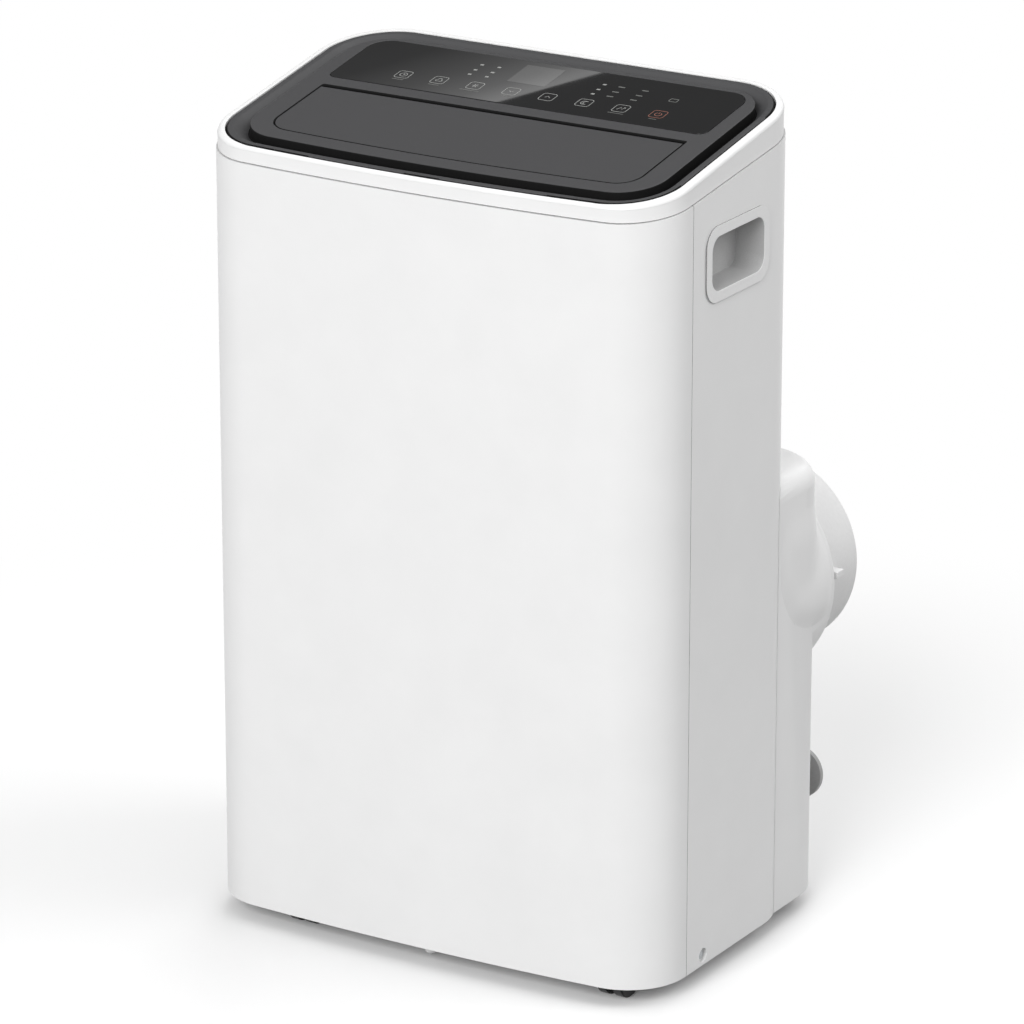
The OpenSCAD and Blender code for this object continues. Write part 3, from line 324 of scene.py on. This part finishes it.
# Distance of a grip's flange from the middle, and the middle of its opening
GRIP_FLANGE = 216.5
GRIP_MIDDLE = (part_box("right_handle")[0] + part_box("right_handle")[1]) / 2
# Everything deeper than this in the deck is groove
GROOVE_FLOOR = 5.0
# Half the width of the flap's opening with its edge, the depths it spans behind its front edge,
# and the depth behind which the flap's hinge lies
OPENING_HALF = 182.0
OPENING_DEPTHS = (48.0, 136.0)
HINGE_DEPTH = 121.0
# The most that a steep face, and that an eased edge, looks up along the deck's normal
STEEP = 0.55
EASED = 0.97
# Least upward or downward lean of a shell's edge at the top joint
LEVEL = 0.85
# How far out, as a share of the deck's own outline, its outer edge begins
OUTER_SHARE = 0.93


def below_deck(centre):
    """How far a point lies under the deck's slope, in mm."""
    return (on_deck(0, (centre.y - FRONT) / MM) - centre).dot(DECK_UP) / MM


def groove_wall(centre, normal):
    """True on the steep walls of the deck's groove and openings, and deep inside its outer gap."""
    depth = below_deck(centre)
    return depth > GROOVE_FLOOR or (abs(normal.dot(DECK_UP)) < STEEP and depth > 0.6)


def opening_edge(centre, normal):
    """True on the eased edge of the flap's opening, but for its front."""
    depth = (centre.y - FRONT) / MM
    within = abs(centre.x) < OPENING_HALF * MM and OPENING_DEPTHS[0] < depth < OPENING_DEPTHS[1]
    return within and normal.dot(DECK_UP) < EASED


def rim_edge(centre, normal):
    """True on the eased outer edge of the deck, beside the top ring."""
    low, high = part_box("top_deck")
    middle, half = (low + high) / 2, (high - low) / 2
    out = centre - middle
    far = (out.x / half.x) ** 4 + (out.y / half.y) ** 4
    outward = normal.x * out.x + normal.y * out.y > 0
    return far > OUTER_SHARE and outward and normal.dot(DECK_UP) < EASED


def deck_painted_shade(centre, normal):
    """True on every part of the deck that gets painted shade in black rather than its charcoal."""
    return groove_wall(centre, normal) or opening_edge(centre, normal) or rim_edge(centre, normal)


def flap_side(centre, normal):
    """True on the sides of the flap and on its hinge."""
    hinge = centre.y - FRONT > HINGE_DEPTH * MM and below_deck(centre) > 0.7
    return hinge or abs(normal.dot(DECK_UP)) < STEEP


def upright_joint(centre, normal):
    """True on the faces that meet across the joint of the front panel and the rear shell."""
    return abs(normal.y) > 0.9 and abs(centre.y - FRONT - PANEL_SEAM * MM) < 1.0 * MM


def under_ring(centre, normal):
    """True on the upper edges of the front panel and the rear shell."""
    return normal.z > LEVEL and centre.z > LOWER_EDGE + TOP_SEAM * MM


def ring_edge(centre, normal):
    """True on the lower edge of the top ring."""
    return normal.z < -LEVEL


def grip_cup(centre, normal):
    """True inside the cup of a grip."""
    return abs(centre.x) < GRIP_FLANGE * MM


def grip_rim(centre, normal):
    """True on the thin wall round a grip's flange."""
    out = Vector((0, centre.y, centre.z)) - Vector((0, GRIP_MIDDLE.y, GRIP_MIDDLE.z))
    return abs(centre.x) > GRIP_FLANGE * MM and abs(normal.x) < 0.8 and normal.dot(out) > 0


# The deck's groove walls, the edges of the flap's opening and its outer edge take near-black painted
# shade
eased("top_deck", 1.1, others=[(painted_shade_black, deck_painted_shade)])
# The ring's lower edge takes lighter painted shade
eased("top_ring", 0.2, others=[(ring_painted_shade, ring_edge)])
# The flap's sides and hinge take near-black painted shade
eased("outlet_flap", 0.5, body="flap", others=[(painted_shade_black, flap_side)])
eased("control_glass", 0.3)
# The shells' meeting edges take grey painted shade, and their upper edges a lighter painted shade
eased("front_panel", 0.15, others=[(joint_painted_shade, upright_joint), (ring_painted_shade, under_ring)])
eased("rear_shell", 0.15, others=[(joint_painted_shade, upright_joint), (ring_painted_shade, under_ring)])
eased("rear_casing", 0.4)
# Each grip's cup is painted darker as shade, and the wall round its flange takes grey painted shade
for grip in ("left_handle", "right_handle"):
    eased(grip, 0.4, others=[(grip_cup_painted_shade, grip_cup), (joint_painted_shade, grip_rim)])
eased("hose_adaptor", 0.6, body="adaptor")


# ---------------------------------------------------------------- swelling beside the outlet


def outlet_swelling():
    """The soft swelling by which the outlet's boss runs out into the casing's right side."""
    depths, heights, pitch = (216.0, 312.0), (222.0, 376.0), 2.0
    # Middle (depth, height) and radius of the swelling, how proud it stands, and its widest x
    middle, radius, proud, widest = (285.0, 300.0), 67.0, 3.4, 217.4
    work = bmesh.new()
    work.from_mesh(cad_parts["rear_casing"].data)
    skin = BVHTree.FromBMesh(work)
    work.clear()
    columns = int((depths[1] - depths[0]) / pitch) + 1
    rows = int((heights[1] - heights[0]) / pitch) + 1
    reach = {}
    for i in range(columns):
        for j in range(rows):
            d, h = depths[0] + i * pitch, heights[0] + j * pitch
            hit = skin.ray_cast(at(260, d, h), Vector((-1, 0, 0)))[0]
            inside = radius - math.hypot(d - middle[0], min(h - middle[1], 0))
            rise = min(max(inside / 16, 0.0), 1.0)
            top = min(max((352 - h) / 40, 0.0), 1.0)
            back = min(max((308 - d) / 12, 0.0), 1.0)
            lift = proud
            for part in (rise, top, back):
                lift *= part * part * (3 - 2 * part)
            reach[i, j] = (hit.x / MM if hit else 150.0, lift)
    # The lift is laid on the casing, then eased so that boss and side run into each other
    level = {key: base + lift - 0.35 for key, (base, lift) in reach.items()}
    for _ in range(14):
        smooth = dict(level)
        for i in range(1, columns - 1):
            for j in range(1, rows - 1):
                if reach[i, j][1] > 0.02:
                    near = (level[i - 1, j] + level[i + 1, j] + level[i, j - 1] + level[i, j + 1]) / 4
                    smooth[i, j] = max(near, reach[i, j][0] - 0.3)
        level = smooth
    spots = {
        key: work.verts.new(at(min(x, widest), depths[0] + key[0] * pitch, heights[0] + key[1] * pitch))
        for key, x in level.items()
    }
    for i in range(columns - 1):
        for j in range(rows - 1):
            ring = [(i, j), (i + 1, j), (i + 1, j + 1), (i, j + 1)]
            if any(reach[k][1] > 0 for k in ring):
                work.faces.new([spots[k] for k in ring]).smooth = True
    bmesh.ops.delete(work, geom=[v for v in work.verts if not v.link_faces], context="VERTS")
    for face in work.faces:
        if face.normal.x < 0:
            face.normal_flip()
    mesh = bpy.data.meshes.new("outlet_swelling")
    work.to_mesh(mesh)
    work.free()
    piece("outlet_swelling", mesh, "cabinet", [white_abs])


outlet_swelling()


# ---------------------------------------------------------------- repeated pieces


def geometry_tree(name, inputs):
    """An empty geometry tree with named inputs, each (name, socket type)."""
    tree = bpy.data.node_groups.new(name, "GeometryNodeTree")
    tree.interface.new_socket("Geometry", in_out="OUTPUT", socket_type="NodeSocketGeometry")
    for label, kind in inputs:
        tree.interface.new_socket(label, in_out="INPUT", socket_type=kind)
    return tree


def scaled(tree, way, source, output):
    """The vector way times a value."""
    return add(
        tree, "ShaderNodeVectorMath", {"operation": "SCALE", 0: way}, {"Scale": (source, output)}
    )


def grown(name, tree, values, body, finish, mesh=None):
    """A piece made by a geometry tree; values are by the inputs' names."""
    seed = bpy.data.objects.new(name + "_seed", mesh or bpy.data.meshes.new(name + "_seed"))
    scene.collection.objects.link(seed)
    made = seed.modifiers.new("rule", "NODES")
    made.node_group = tree
    inputs = [item for item in tree.interface.items_tree if item.in_out == "INPUT"]
    identifiers = {item.name: item.identifier for item in inputs}
    for label, value in values.items():
        made[identifiers[label]] = value
    return piece(name, settled(seed), body, [finish])


def net_tree():
    """Round threads both ways across a rectangle that stands in the x-z plane."""
    tree = geometry_tree(
        "woven_net",
        [
            ("Corner", "NodeSocketVector"),
            ("Width", "NodeSocketFloat"),
            ("Height", "NodeSocketFloat"),
            ("Pitch", "NodeSocketFloat"),
            ("Thread", "NodeSocketFloat"),
            ("Material", "NodeSocketMaterial"),
        ],
    )
    given = add(tree, "NodeGroupInput")
    section = add(
        tree, "GeometryNodeCurvePrimitiveCircle", {"Resolution": 6}, {"Radius": (given, "Thread")}
    )
    layers = []
    for run, across, way in (("Height", "Width", (0, 0, 1)), ("Width", "Height", (1, 0, 0))):
        step_way = (1, 0, 0) if way[2] else (0, 0, 1)
        end = scaled(tree, way, given, run)
        line = add(tree, "GeometryNodeCurvePrimitiveLine", None, {"End": (end, "Vector")})
        thread = add(
            tree,
            "GeometryNodeCurveToMesh",
            {"Fill Caps": True},
            {"Curve": (line, "Curve"), "Profile Curve": (section, "Curve")},
        )
        count = add(
            tree, "ShaderNodeMath", {"operation": "DIVIDE"}, {0: (given, across), 1: (given, "Pitch")}
        )
        step = scaled(tree, step_way, given, "Pitch")
        row = add(
            tree,
            "GeometryNodeMeshLine",
            {"mode": "OFFSET"},
            {"Count": (count, 0), "Start Location": (step, "Vector"), "Offset": (step, "Vector")},
        )
        layers.append(
            add(
                tree,
                "GeometryNodeInstanceOnPoints",
                None,
                {"Points": (row, "Mesh"), "Instance": (thread, "Mesh")},
            )
        )
    joined = add(tree, "GeometryNodeJoinGeometry")
    for layer in layers:
        tree.links.new(layer.outputs["Instances"], joined.inputs["Geometry"])
    placed = add(
        tree,
        "GeometryNodeTransform",
        None,
        {"Geometry": (joined, "Geometry"), "Translation": (given, "Corner")},
    )
    finish_tree(tree, placed, given)
    return tree


def finish_tree(tree, last, given):
    """Ends a tree: its copies become real and take the given material."""
    real = add(tree, "GeometryNodeRealizeInstances", None, {"Geometry": (last, "Geometry")})
    dressed = add(
        tree,
        "GeometryNodeSetMaterial",
        None,
        {"Geometry": (real, "Geometry"), "Material": (given, "Material")},
    )
    add(tree, "NodeGroupOutput", None, {"Geometry": (dressed, "Geometry")})


def fin_tree():
    """Thin upright plates side by side along x."""
    tree = geometry_tree(
        "fin_pack",
        [
            ("Corner", "NodeSocketVector"),
            ("Plate", "NodeSocketVector"),
            ("Pitch", "NodeSocketFloat"),
            ("Count", "NodeSocketInt"),
            ("Material", "NodeSocketMaterial"),
        ],
    )
    given = add(tree, "NodeGroupInput")
    plate = add(
        tree,
        "GeometryNodeMeshCube",
        {"Vertices X": 2, "Vertices Y": 5, "Vertices Z": 2},
        {"Size": (given, "Plate")},
    )
    # Each plate is corrugated along its depth
    where = add(tree, "GeometryNodeInputPosition")
    split = add(tree, "ShaderNodeSeparateXYZ", None, {0: (where, 0)})
    wave = add(tree, "ShaderNodeMath", {"operation": "MULTIPLY", 1: 400.0}, {0: (split, "Y")})
    bend = add(tree, "ShaderNodeMath", {"operation": "SINE"}, {0: (wave, 0)})
    small = add(tree, "ShaderNodeMath", {"operation": "MULTIPLY", 1: 0.0003}, {0: (bend, 0)})
    shift = add(tree, "ShaderNodeCombineXYZ", None, {"X": (small, 0)})
    bent = add(
        tree,
        "GeometryNodeSetPosition",
        None,
        {"Geometry": (plate, "Mesh"), "Offset": (shift, 0)},
    )
    step = scaled(tree, (1, 0, 0), given, "Pitch")
    row = add(
        tree,
        "GeometryNodeMeshLine",
        {"mode": "OFFSET"},
        {"Count": (given, "Count"), "Start Location": (given, "Corner"), "Offset": (step, "Vector")},
    )
    packed = add(
        tree,
        "GeometryNodeInstanceOnPoints",
        None,
        {"Points": (row, "Mesh"), "Instance": (bent, "Geometry")},
    )
    holder = add(tree, "GeometryNodeJoinGeometry", None, {"Geometry": (packed, "Instances")})
    finish_tree(tree, holder, given)
    return tree


def screw_tree():
    """Pan-head screws with a cross recess on the points of the seed, facing the back."""
    tree = geometry_tree(
        "pan_screws",
        [
            ("Geometry", "NodeSocketGeometry"),
            ("Head Radius", "NodeSocketFloat"),
            ("Head Height", "NodeSocketFloat"),
            ("Material", "NodeSocketMaterial"),
        ],
    )
    given = add(tree, "NodeGroupInput")
    bottom = add(tree, "ShaderNodeCombineXYZ", None, {"X": (given, "Head Radius")})
    side = add(
        tree,
        "GeometryNodeCurvePrimitiveBezierSegment",
        {"mode": "POSITION", "Resolution": 8},
        {"Start": (bottom, 0)},
    )
    crown = add(tree, "ShaderNodeCombineXYZ", {"X": 0.0004}, {"Y": (given, "Head Height")})
    shoulder = add(
        tree,
        "ShaderNodeCombineXYZ",
        None,
        {"X": (given, "Head Radius"), "Y": (given, "Head Height")},
    )
    for socket in ("Start Handle", "End Handle"):
        tree.links.new(shoulder.outputs[0], side.inputs[socket])
    tree.links.new(crown.outputs[0], side.inputs["End"])
    circle = add(tree, "GeometryNodeCurvePrimitiveCircle", {"Resolution": 32, "Radius": 0.0001})
    head = add(
        tree,
        "GeometryNodeCurveToMesh",
        {"Fill Caps": False},
        {"Curve": (circle, "Curve"), "Profile Curve": (side, "Curve")},
    )
    closed = add(tree, "GeometryNodeMergeByDistance", {"Distance": 0.0006}, {"Geometry": (head, "Mesh")})
    bars = []
    for size in ((0.0044, 0.0008, 0.001), (0.0008, 0.0044, 0.001)):
        bars.append(add(tree, "GeometryNodeMeshCube", {"Size": size}))
    cut = add(
        tree,
        "GeometryNodeMeshBoolean",
        {"operation": "DIFFERENCE"},
        {"Mesh 1": (closed, "Geometry")},
    )
    for bar in bars:
        lift = scaled(tree, (0, 0, -1), given, "Head Height")
        raised = add(
            tree,
            "GeometryNodeTransform",
            None,
            {"Geometry": (bar, "Mesh"), "Translation": (lift, "Vector")},
        )
        tree.links.new(raised.outputs["Geometry"], cut.inputs["Mesh 2"])
    spread = add(
        tree,
        "GeometryNodeInstanceOnPoints",
        {"Rotation": (math.radians(90), 0, 0)},
        {"Points": (given, "Geometry"), "Instance": (cut, "Mesh")},
    )
    holder = add(tree, "GeometryNodeJoinGeometry", None, {"Geometry": (spread, "Instances")})
    finish_tree(tree, holder, given)
    return tree


# Filter nets: a 3 mm mesh stretched inside each frame
NET_PITCH, NET_THREAD, NET_MARGIN = 3.0, 0.35, 6.0
net = net_tree()
for side in ("upper", "lower"):
    low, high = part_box(f"{side}_filter")
    corner = Vector((low.x + NET_MARGIN * MM, high.y - 1.2 * MM, low.z + NET_MARGIN * MM))
    grown(
        f"{side}_filter_net",
        net,
        {
            "Corner": corner,
            "Width": high.x - low.x - 2 * NET_MARGIN * MM,
            "Height": high.z - low.z - 2 * NET_MARGIN * MM,
            "Pitch": NET_PITCH * MM,
            "Thread": NET_THREAD * MM,
            "Material": filter_nylon,
        },
        f"{side}_filter_set",
        filter_nylon,
    )

# Fine fins between the coarse ones that carry the coils, at the 2 mm pitch of such coils;
# the foot is how far they stop above the coil's lowest point
FIN_PITCH, FIN_SHEET = 2.0, 0.2
fins = fin_tree()
for coil, foot in (("evaporator_coil", 6.0), ("condenser_coil", 41.0)):
    low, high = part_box(coil)
    bottom = low.z + foot * MM
    top = high.z - 6.0 * MM
    length = high.x - low.x - 30 * MM
    depth = high.y - low.y - 4 * MM
    grown(
        f"{coil}_fins",
        fins,
        {
            "Corner": Vector((low.x + 8 * MM, (low.y + high.y) / 2, (bottom + top) / 2)),
            "Plate": Vector((FIN_SHEET * MM, depth, top - bottom)),
            "Pitch": FIN_PITCH * MM,
            "Count": int(length / (FIN_PITCH * MM)),
            "Material": fin_aluminium,
        },
        "cabinet",
        fin_aluminium,
    )

# Screws that hold the casing and the shell at the back
CASING_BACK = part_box("rear_casing")[1].y
SHELL_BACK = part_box("rear_shell")[1].y
spots = [(x, h, CASING_BACK) for x, h in ((-140, 345), (-20, 345), (-140, 34), (-20, 34))]
spots += [(x, 624, SHELL_BACK) for x in (-120, 120)]
seats = bpy.data.meshes.new("screw_seats")
seats.from_pydata([(x * MM, back, LOWER_EDGE + h * MM) for x, h, back in spots], [], [])
grown(
    "back_screws",
    screw_tree(),
    {"Head Radius": 3.6 * MM, "Head Height": 1.9 * MM, "Material": zinc_steel},
    "cabinet",
    zinc_steel,
    seats,
)


# ---------------------------------------------------------------- print on the glass


def ribbon(work, path, width, closed=False, lift=0.04):
    """Adds a printed stroke along a path of (x, depth) points on the glass."""
    count = len(path)
    sides = []
    for i, (x, d) in enumerate(path):
        before = path[i - 1] if (closed or i > 0) else path[i]
        after = path[(i + 1) % count] if (closed or i < count - 1) else path[i]
        dx, dd = after[0] - before[0], after[1] - before[1]
        size = math.hypot(dx, dd) or 1.0
        nx, nd = -dd / size * width / 2, dx / size * width / 2
        sides.append([work.verts.new(on_deck(x + s * nx, d + s * nd, lift)) for s in (1, -1)])
    for i in range(count if closed else count - 1):
        a, b = sides[i], sides[(i + 1) % count]
        work.faces.new((a[0], a[1], b[1], b[0]))


def arc(cx, cd, r, start, end, steps=24):
    """Points on an arc, with angles in degrees."""
    turns = [math.radians(start + (end - start) * i / steps) for i in range(steps + 1)]
    return [(cx + r * math.cos(t), cd + r * math.sin(t)) for t in turns]


def rounded(cx, cd, half_w, half_d, r):
    """Outline of a rounded rectangle."""
    path = []
    for sx, sd, a in ((1, 1, 0), (-1, 1, 90), (-1, -1, 180), (1, -1, 270)):
        path += arc(cx + sx * (half_w - r), cd + sd * (half_d - r), r, a, a + 90, 5)
    return path


def symbols(cx, cd):
    """Generic strokes for the touch keys, left to right."""

    def spoke(r, a):
        turn = math.radians(a)
        return (cx + r * math.cos(turn), cd + r * math.sin(turn))

    clock = [arc(cx, cd, 3.2, 0, 360), [(cx, cd + 2), (cx, cd), (cx + 1.6, cd)]]
    fan = [arc(*spoke(1.6, a), 1.5, a - 100, a + 120, 10) for a in (90, 210, 330)]
    star = [[spoke(-3, a), spoke(3, a)] for a in (0, 60, 120)]
    down = [[(cx - 2.2, cd + 1), (cx, cd - 1.4), (cx + 2.2, cd + 1)]]
    up = [[(cx - 2.2, cd - 1), (cx, cd + 1.4), (cx + 2.2, cd - 1)]]
    moon = [arc(cx, cd, 3, 60, 300) + arc(cx + 1.8, cd, 2.7, 285, 75, 14)]
    swing = [
        [(cx - 3, cd - 2.4), (cx - 0.6, cd + 2), (cx + 1, cd - 1.6), (cx + 3, cd + 2.4)],
        [(cx + 1.4, cd + 2.4), (cx + 3, cd + 2.4), (cx + 3, cd + 0.8)],
    ]
    power = [arc(cx, cd - 0.2, 2.9, 125, 415), [(cx, cd + 0.4), (cx, cd + 3.4)]]
    return [clock, fan, star, down, up, moon, swing, power]


def print_on_glass(name, strokes, finish):
    """One thin sheet of printed strokes; each is (path, width, closed)."""
    work = bmesh.new()
    for path, width, closed in strokes:
        ribbon(work, path, width, closed)
    bmesh.ops.recalc_face_normals(work, faces=work.faces)
    for face in work.faces:
        if face.normal.dot(DECK_UP) < 0:
            face.normal_flip()
    thick = bmesh.ops.extrude_face_region(work, geom=list(work.faces))
    for vert in [g for g in thick["geom"] if isinstance(g, bmesh.types.BMVert)]:
        vert.co += DECK_UP * 0.03 * MM
    mesh = bpy.data.meshes.new(name)
    work.to_mesh(mesh)
    work.free()
    return piece(name, mesh, "cabinet", [finish])


# Touch keys: a row of framed symbols, and a caption-like bar under six of them
KEY_DEPTH = 169.5
KEY_PITCH = 34.4
KEY_SHIFT = 2.8
CAPTION_DEPTH = 160.0
CAPTION_LENGTH = {0: 11, 1: 10, 2: 18, 3: 7, 6: 14, 7: 7}
keys_white, keys_red, captions = [], [], []
for i in range(8):
    kx = (i - 3.5) * KEY_PITCH + KEY_SHIFT
    target = keys_red if i == 7 else keys_white
    target.append((rounded(kx, KEY_DEPTH, 6.4, 6.4, 2.6), 0.6, True))
    for stroke in symbols(kx, KEY_DEPTH)[i]:
        target.append((stroke, 0.65, False))
    half = CAPTION_LENGTH.get(i, 0) / 2
    if half:
        captions.append(([(kx - half, CAPTION_DEPTH), (kx + half, CAPTION_DEPTH)], 0.8, False))
print_on_glass("key_print", keys_white, white_ink)
print_on_glass("power_key_print", keys_red, red_ink)
print_on_glass("caption_print", captions, faint_ink)

# Indicator marks: small lamps beside the display, with thin bars for their scales
marks, faint_marks = [], []
for row in (207.5, 197.0, 188.0):
    for x in (-65.5, -49.0):
        marks.append(([(x - 1.6, row), (x + 1.6, row)], 2.2, False))
for row in (206.0, 196.0, 187.0):
    marks.append(([(52 - 1.6, row), (52 + 1.6, row)], 2.2, False))
    for x in (68.0, 90.0):
        faint_marks.append(([(x - 3, row), (x + 3, row)], 1.6, False))
faint_marks.append((rounded(121.6, 197, 3.6, 2.6, 1.2), 0.9, True))
print_on_glass("indicator_print", marks, white_ink)
print_on_glass("faint_print", faint_marks, faint_ink)

# The display's window lies in the plane of the glass
window = ([(-29, 203), (7, 203)], 34.0, False)
print_on_glass("display_window", [window], window_acrylic)


# ---------------------------------------------------------------- studio


# How brightly the paper glows where it is seen, and the sky's part in lighting the cabinet
FLOOR_GLOW = 0.05
SKY_LEVEL = 0.45
# The paper's colour as it is seen, and the darker one that lights the cabinet from below
PAPER_SEEN = "#f4f4f4"
PAPER_LIT = "#747474"
# The card's brightness off its band as a share of its strength, and across the band from its
# sharp edge: pairs of a share of the band's width and a share of the strength
CARD_STRENGTH = 2.0
CARD_WIDTH = 0.15
CARD_DARK = 0.1
CARD_BAND = [(0.003, 0.74), (0.137, 0.43), (0.313, 0.25), (0.55, 0.12)]


def white_when_seen(tree):
    """1 for a ray from the camera, off a gloss or through glass, else 0."""
    path = add(tree, "ShaderNodeLightPath")
    direct = add(
        tree,
        "ShaderNodeMath",
        {"operation": "MAXIMUM"},
        {0: (path, "Is Camera Ray"), 1: (path, "Is Glossy Ray")},
    )
    return add(
        tree,
        "ShaderNodeMath",
        {"operation": "MAXIMUM"},
        {0: (direct, "Value"), 1: (path, "Is Transmission Ray")},
    )


def backdrop():
    """A pale floor that keeps the soft shadow and runs out to white."""
    mesh = bpy.data.meshes.new("studio_floor")
    reach = 12.0
    corners = [(-reach, -reach, 0), (reach, -reach, 0), (reach, reach, 0), (-reach, reach, 0)]
    mesh.from_pydata(corners, [], [(0, 1, 2, 3)])
    made = bpy.data.objects.new("studio_floor", mesh)
    scene.collection.objects.link(made)
    paper = bpy.data.materials.new("studio_paper")
    paper.use_nodes = True
    tree = paper.node_tree
    tree.nodes.clear()
    tone = add(
        tree,
        "ShaderNodeMix",
        {"data_type": "RGBA", 6: linear(PAPER_LIT), 7: linear(PAPER_SEEN)},
        {0: (white_when_seen(tree), 0)},
    )
    sheet = add(tree, "ShaderNodeBsdfDiffuse", None, {"Color": (tone, 2)})
    # The part of the paper's glow that only the camera and reflections see
    near = add(
        tree,
        "ShaderNodeMath",
        {"operation": "MULTIPLY", 1: FLOOR_GLOW},
        {0: (white_when_seen(tree), 0)},
    )
    glow = add(tree, "ShaderNodeEmission", {"Color": (1, 1, 1, 1)}, {"Strength": (near, 0)})
    both = add(tree, "ShaderNodeAddShader", None, {0: (sheet, "BSDF"), 1: (glow, "Emission")})
    # Far from the object the paper is plain white to them
    place = add(tree, "ShaderNodeTexCoord")
    away = add(tree, "ShaderNodeVectorMath", {"operation": "LENGTH"}, {0: (place, "Object")})
    fade = add(
        tree,
        "ShaderNodeMapRange",
        {"interpolation_type": "SMOOTHSTEP", "From Min": 0.45, "From Max": 1.0},
        {"Value": (away, "Value")},
    )
    seen = add(
        tree,
        "ShaderNodeMath",
        {"operation": "MULTIPLY"},
        {0: (fade, "Result"), 1: (white_when_seen(tree), 0)},
    )
    white = add(tree, "ShaderNodeEmission", {"Color": (1, 1, 1, 1), "Strength": 1.0})
    mixed = add(
        tree,
        "ShaderNodeMixShader",
        None,
        {0: (seen, 0), 1: (both, "Shader"), 2: (white, "Emission")},
    )
    add(tree, "ShaderNodeOutputMaterial", None, {"Surface": (mixed, "Shader")})
    mesh.materials.append(paper)


def sky():
    """Even light from all round, and white where the camera sees past the floor."""
    world = bpy.data.worlds.new("studio")
    scene.world = world
    world.use_nodes = True
    tree = world.node_tree
    tree.nodes.clear()
    level = add(
        tree,
        "ShaderNodeMapRange",
        {"To Min": SKY_LEVEL, "To Max": 1.0},
        {"Value": (white_when_seen(tree), 0)},
    )
    light = add(tree, "ShaderNodeBackground", {"Color": (1, 1, 1, 1)}, {"Strength": (level, "Result")})
    add(tree, "ShaderNodeOutputWorld", None, {"Surface": (light, "Background")})


def lamp(name, azimuth, elevation, distance, size, power):
    """A square soft light aimed at the cabinet; azimuth 0 is in front, 90 to the right."""
    data = bpy.data.lights.new(name, "AREA")
    data.shape = "SQUARE"
    data.size = size
    data.energy = power
    made = bpy.data.objects.new(name, data)
    scene.collection.objects.link(made)
    turn, rise = math.radians(azimuth), math.radians(elevation)
    away = Vector((math.sin(turn) * math.cos(rise), -math.cos(turn) * math.cos(rise), math.sin(rise)))
    made.location = Vector((0, 0, 0.35)) + away * distance
    made.rotation_mode = "QUATERNION"
    made.rotation_quaternion = (-away).to_track_quat("-Z", "Y")
    return made


def glass_card():
    """A card behind the cabinet that only glosses see: its bright band gives the glass its diagonal."""
    # Where the glass's gloss looks, the way the band's sharp edge runs, and across it into the band
    seen_from = Vector((-0.49762, 0.69105, 0.52424))
    along = Vector((0.78871, 0.61201, -0.05809))
    brighter = Vector((-0.36098, 0.38457, -0.84959))
    middle = on_deck(13, 188) + seen_from * 2.5
    half = 1.7
    mesh = bpy.data.meshes.new("glass_card")
    signs = ((-1, -1), (1, -1), (1, 1), (-1, 1))
    corners = [middle + along * half * a + brighter * half * b for a, b in signs]
    mesh.from_pydata(corners, [], [(0, 1, 2, 3)])
    made = bpy.data.objects.new("glass_card", mesh)
    scene.collection.objects.link(made)
    card = bpy.data.materials.new("card")
    card.use_nodes = True
    tree = card.node_tree
    tree.nodes.clear()
    place = add(tree, "ShaderNodeTexCoord")
    across = add(
        tree,
        "ShaderNodeVectorMath",
        {"operation": "DOT_PRODUCT", 1: brighter},
        {0: (place, "Object")},
    )
    start = middle.dot(brighter)
    span = add(
        tree,
        "ShaderNodeMapRange",
        {"From Min": start, "From Max": start + CARD_WIDTH},
        {"Value": (across, "Value")},
    )
    band = add(tree, "ShaderNodeValToRGB", links={"Fac": (span, "Result")})
    stops = band.color_ramp.elements
    stops[0].color = stops[1].color = (CARD_DARK, CARD_DARK, CARD_DARK, 1)
    for position, level in CARD_BAND:
        made_stop = stops.new(position)
        made_stop.color = (level, level, level, 1)
    glow = add(tree, "ShaderNodeEmission", {"Strength": CARD_STRENGTH}, {"Color": (band, "Color")})
    add(tree, "ShaderNodeOutputMaterial", None, {"Surface": (glow, "Emission")})
    mesh.materials.append(card)
    made.visible_camera = False
    made.visible_diffuse = False
    made.visible_transmission = False
    made.visible_volume_scatter = False
    made.visible_shadow = False


backdrop()
sky()
glass_card()
lamp("key_light", 6, 26, 8.0, 4.6, 480)
lamp("top_light", 150, 80, 3.2, 2.4, 15)
lamp("side_light", 112, 38, 8.0, 4.6, 184)
lamp("back_light", 195, 30, 8.0, 4.6, 170)

view = bpy.data.cameras.new("studio_camera")
view.sensor_width = 36
view.lens = 215.25
view.clip_end = 60
camera = bpy.data.objects.new("studio_camera", view)
scene.collection.objects.link(camera)
camera.location = (2.48903, -4.12404, 1.97479)
camera.rotation_mode = "QUATERNION"
camera.rotation_quaternion = Vector((-0.4928, 0.80858, -0.32147)).to_track_quat("-Z", "Y")
scene.camera = camera
scene.view_settings.view_transform = "Standard"
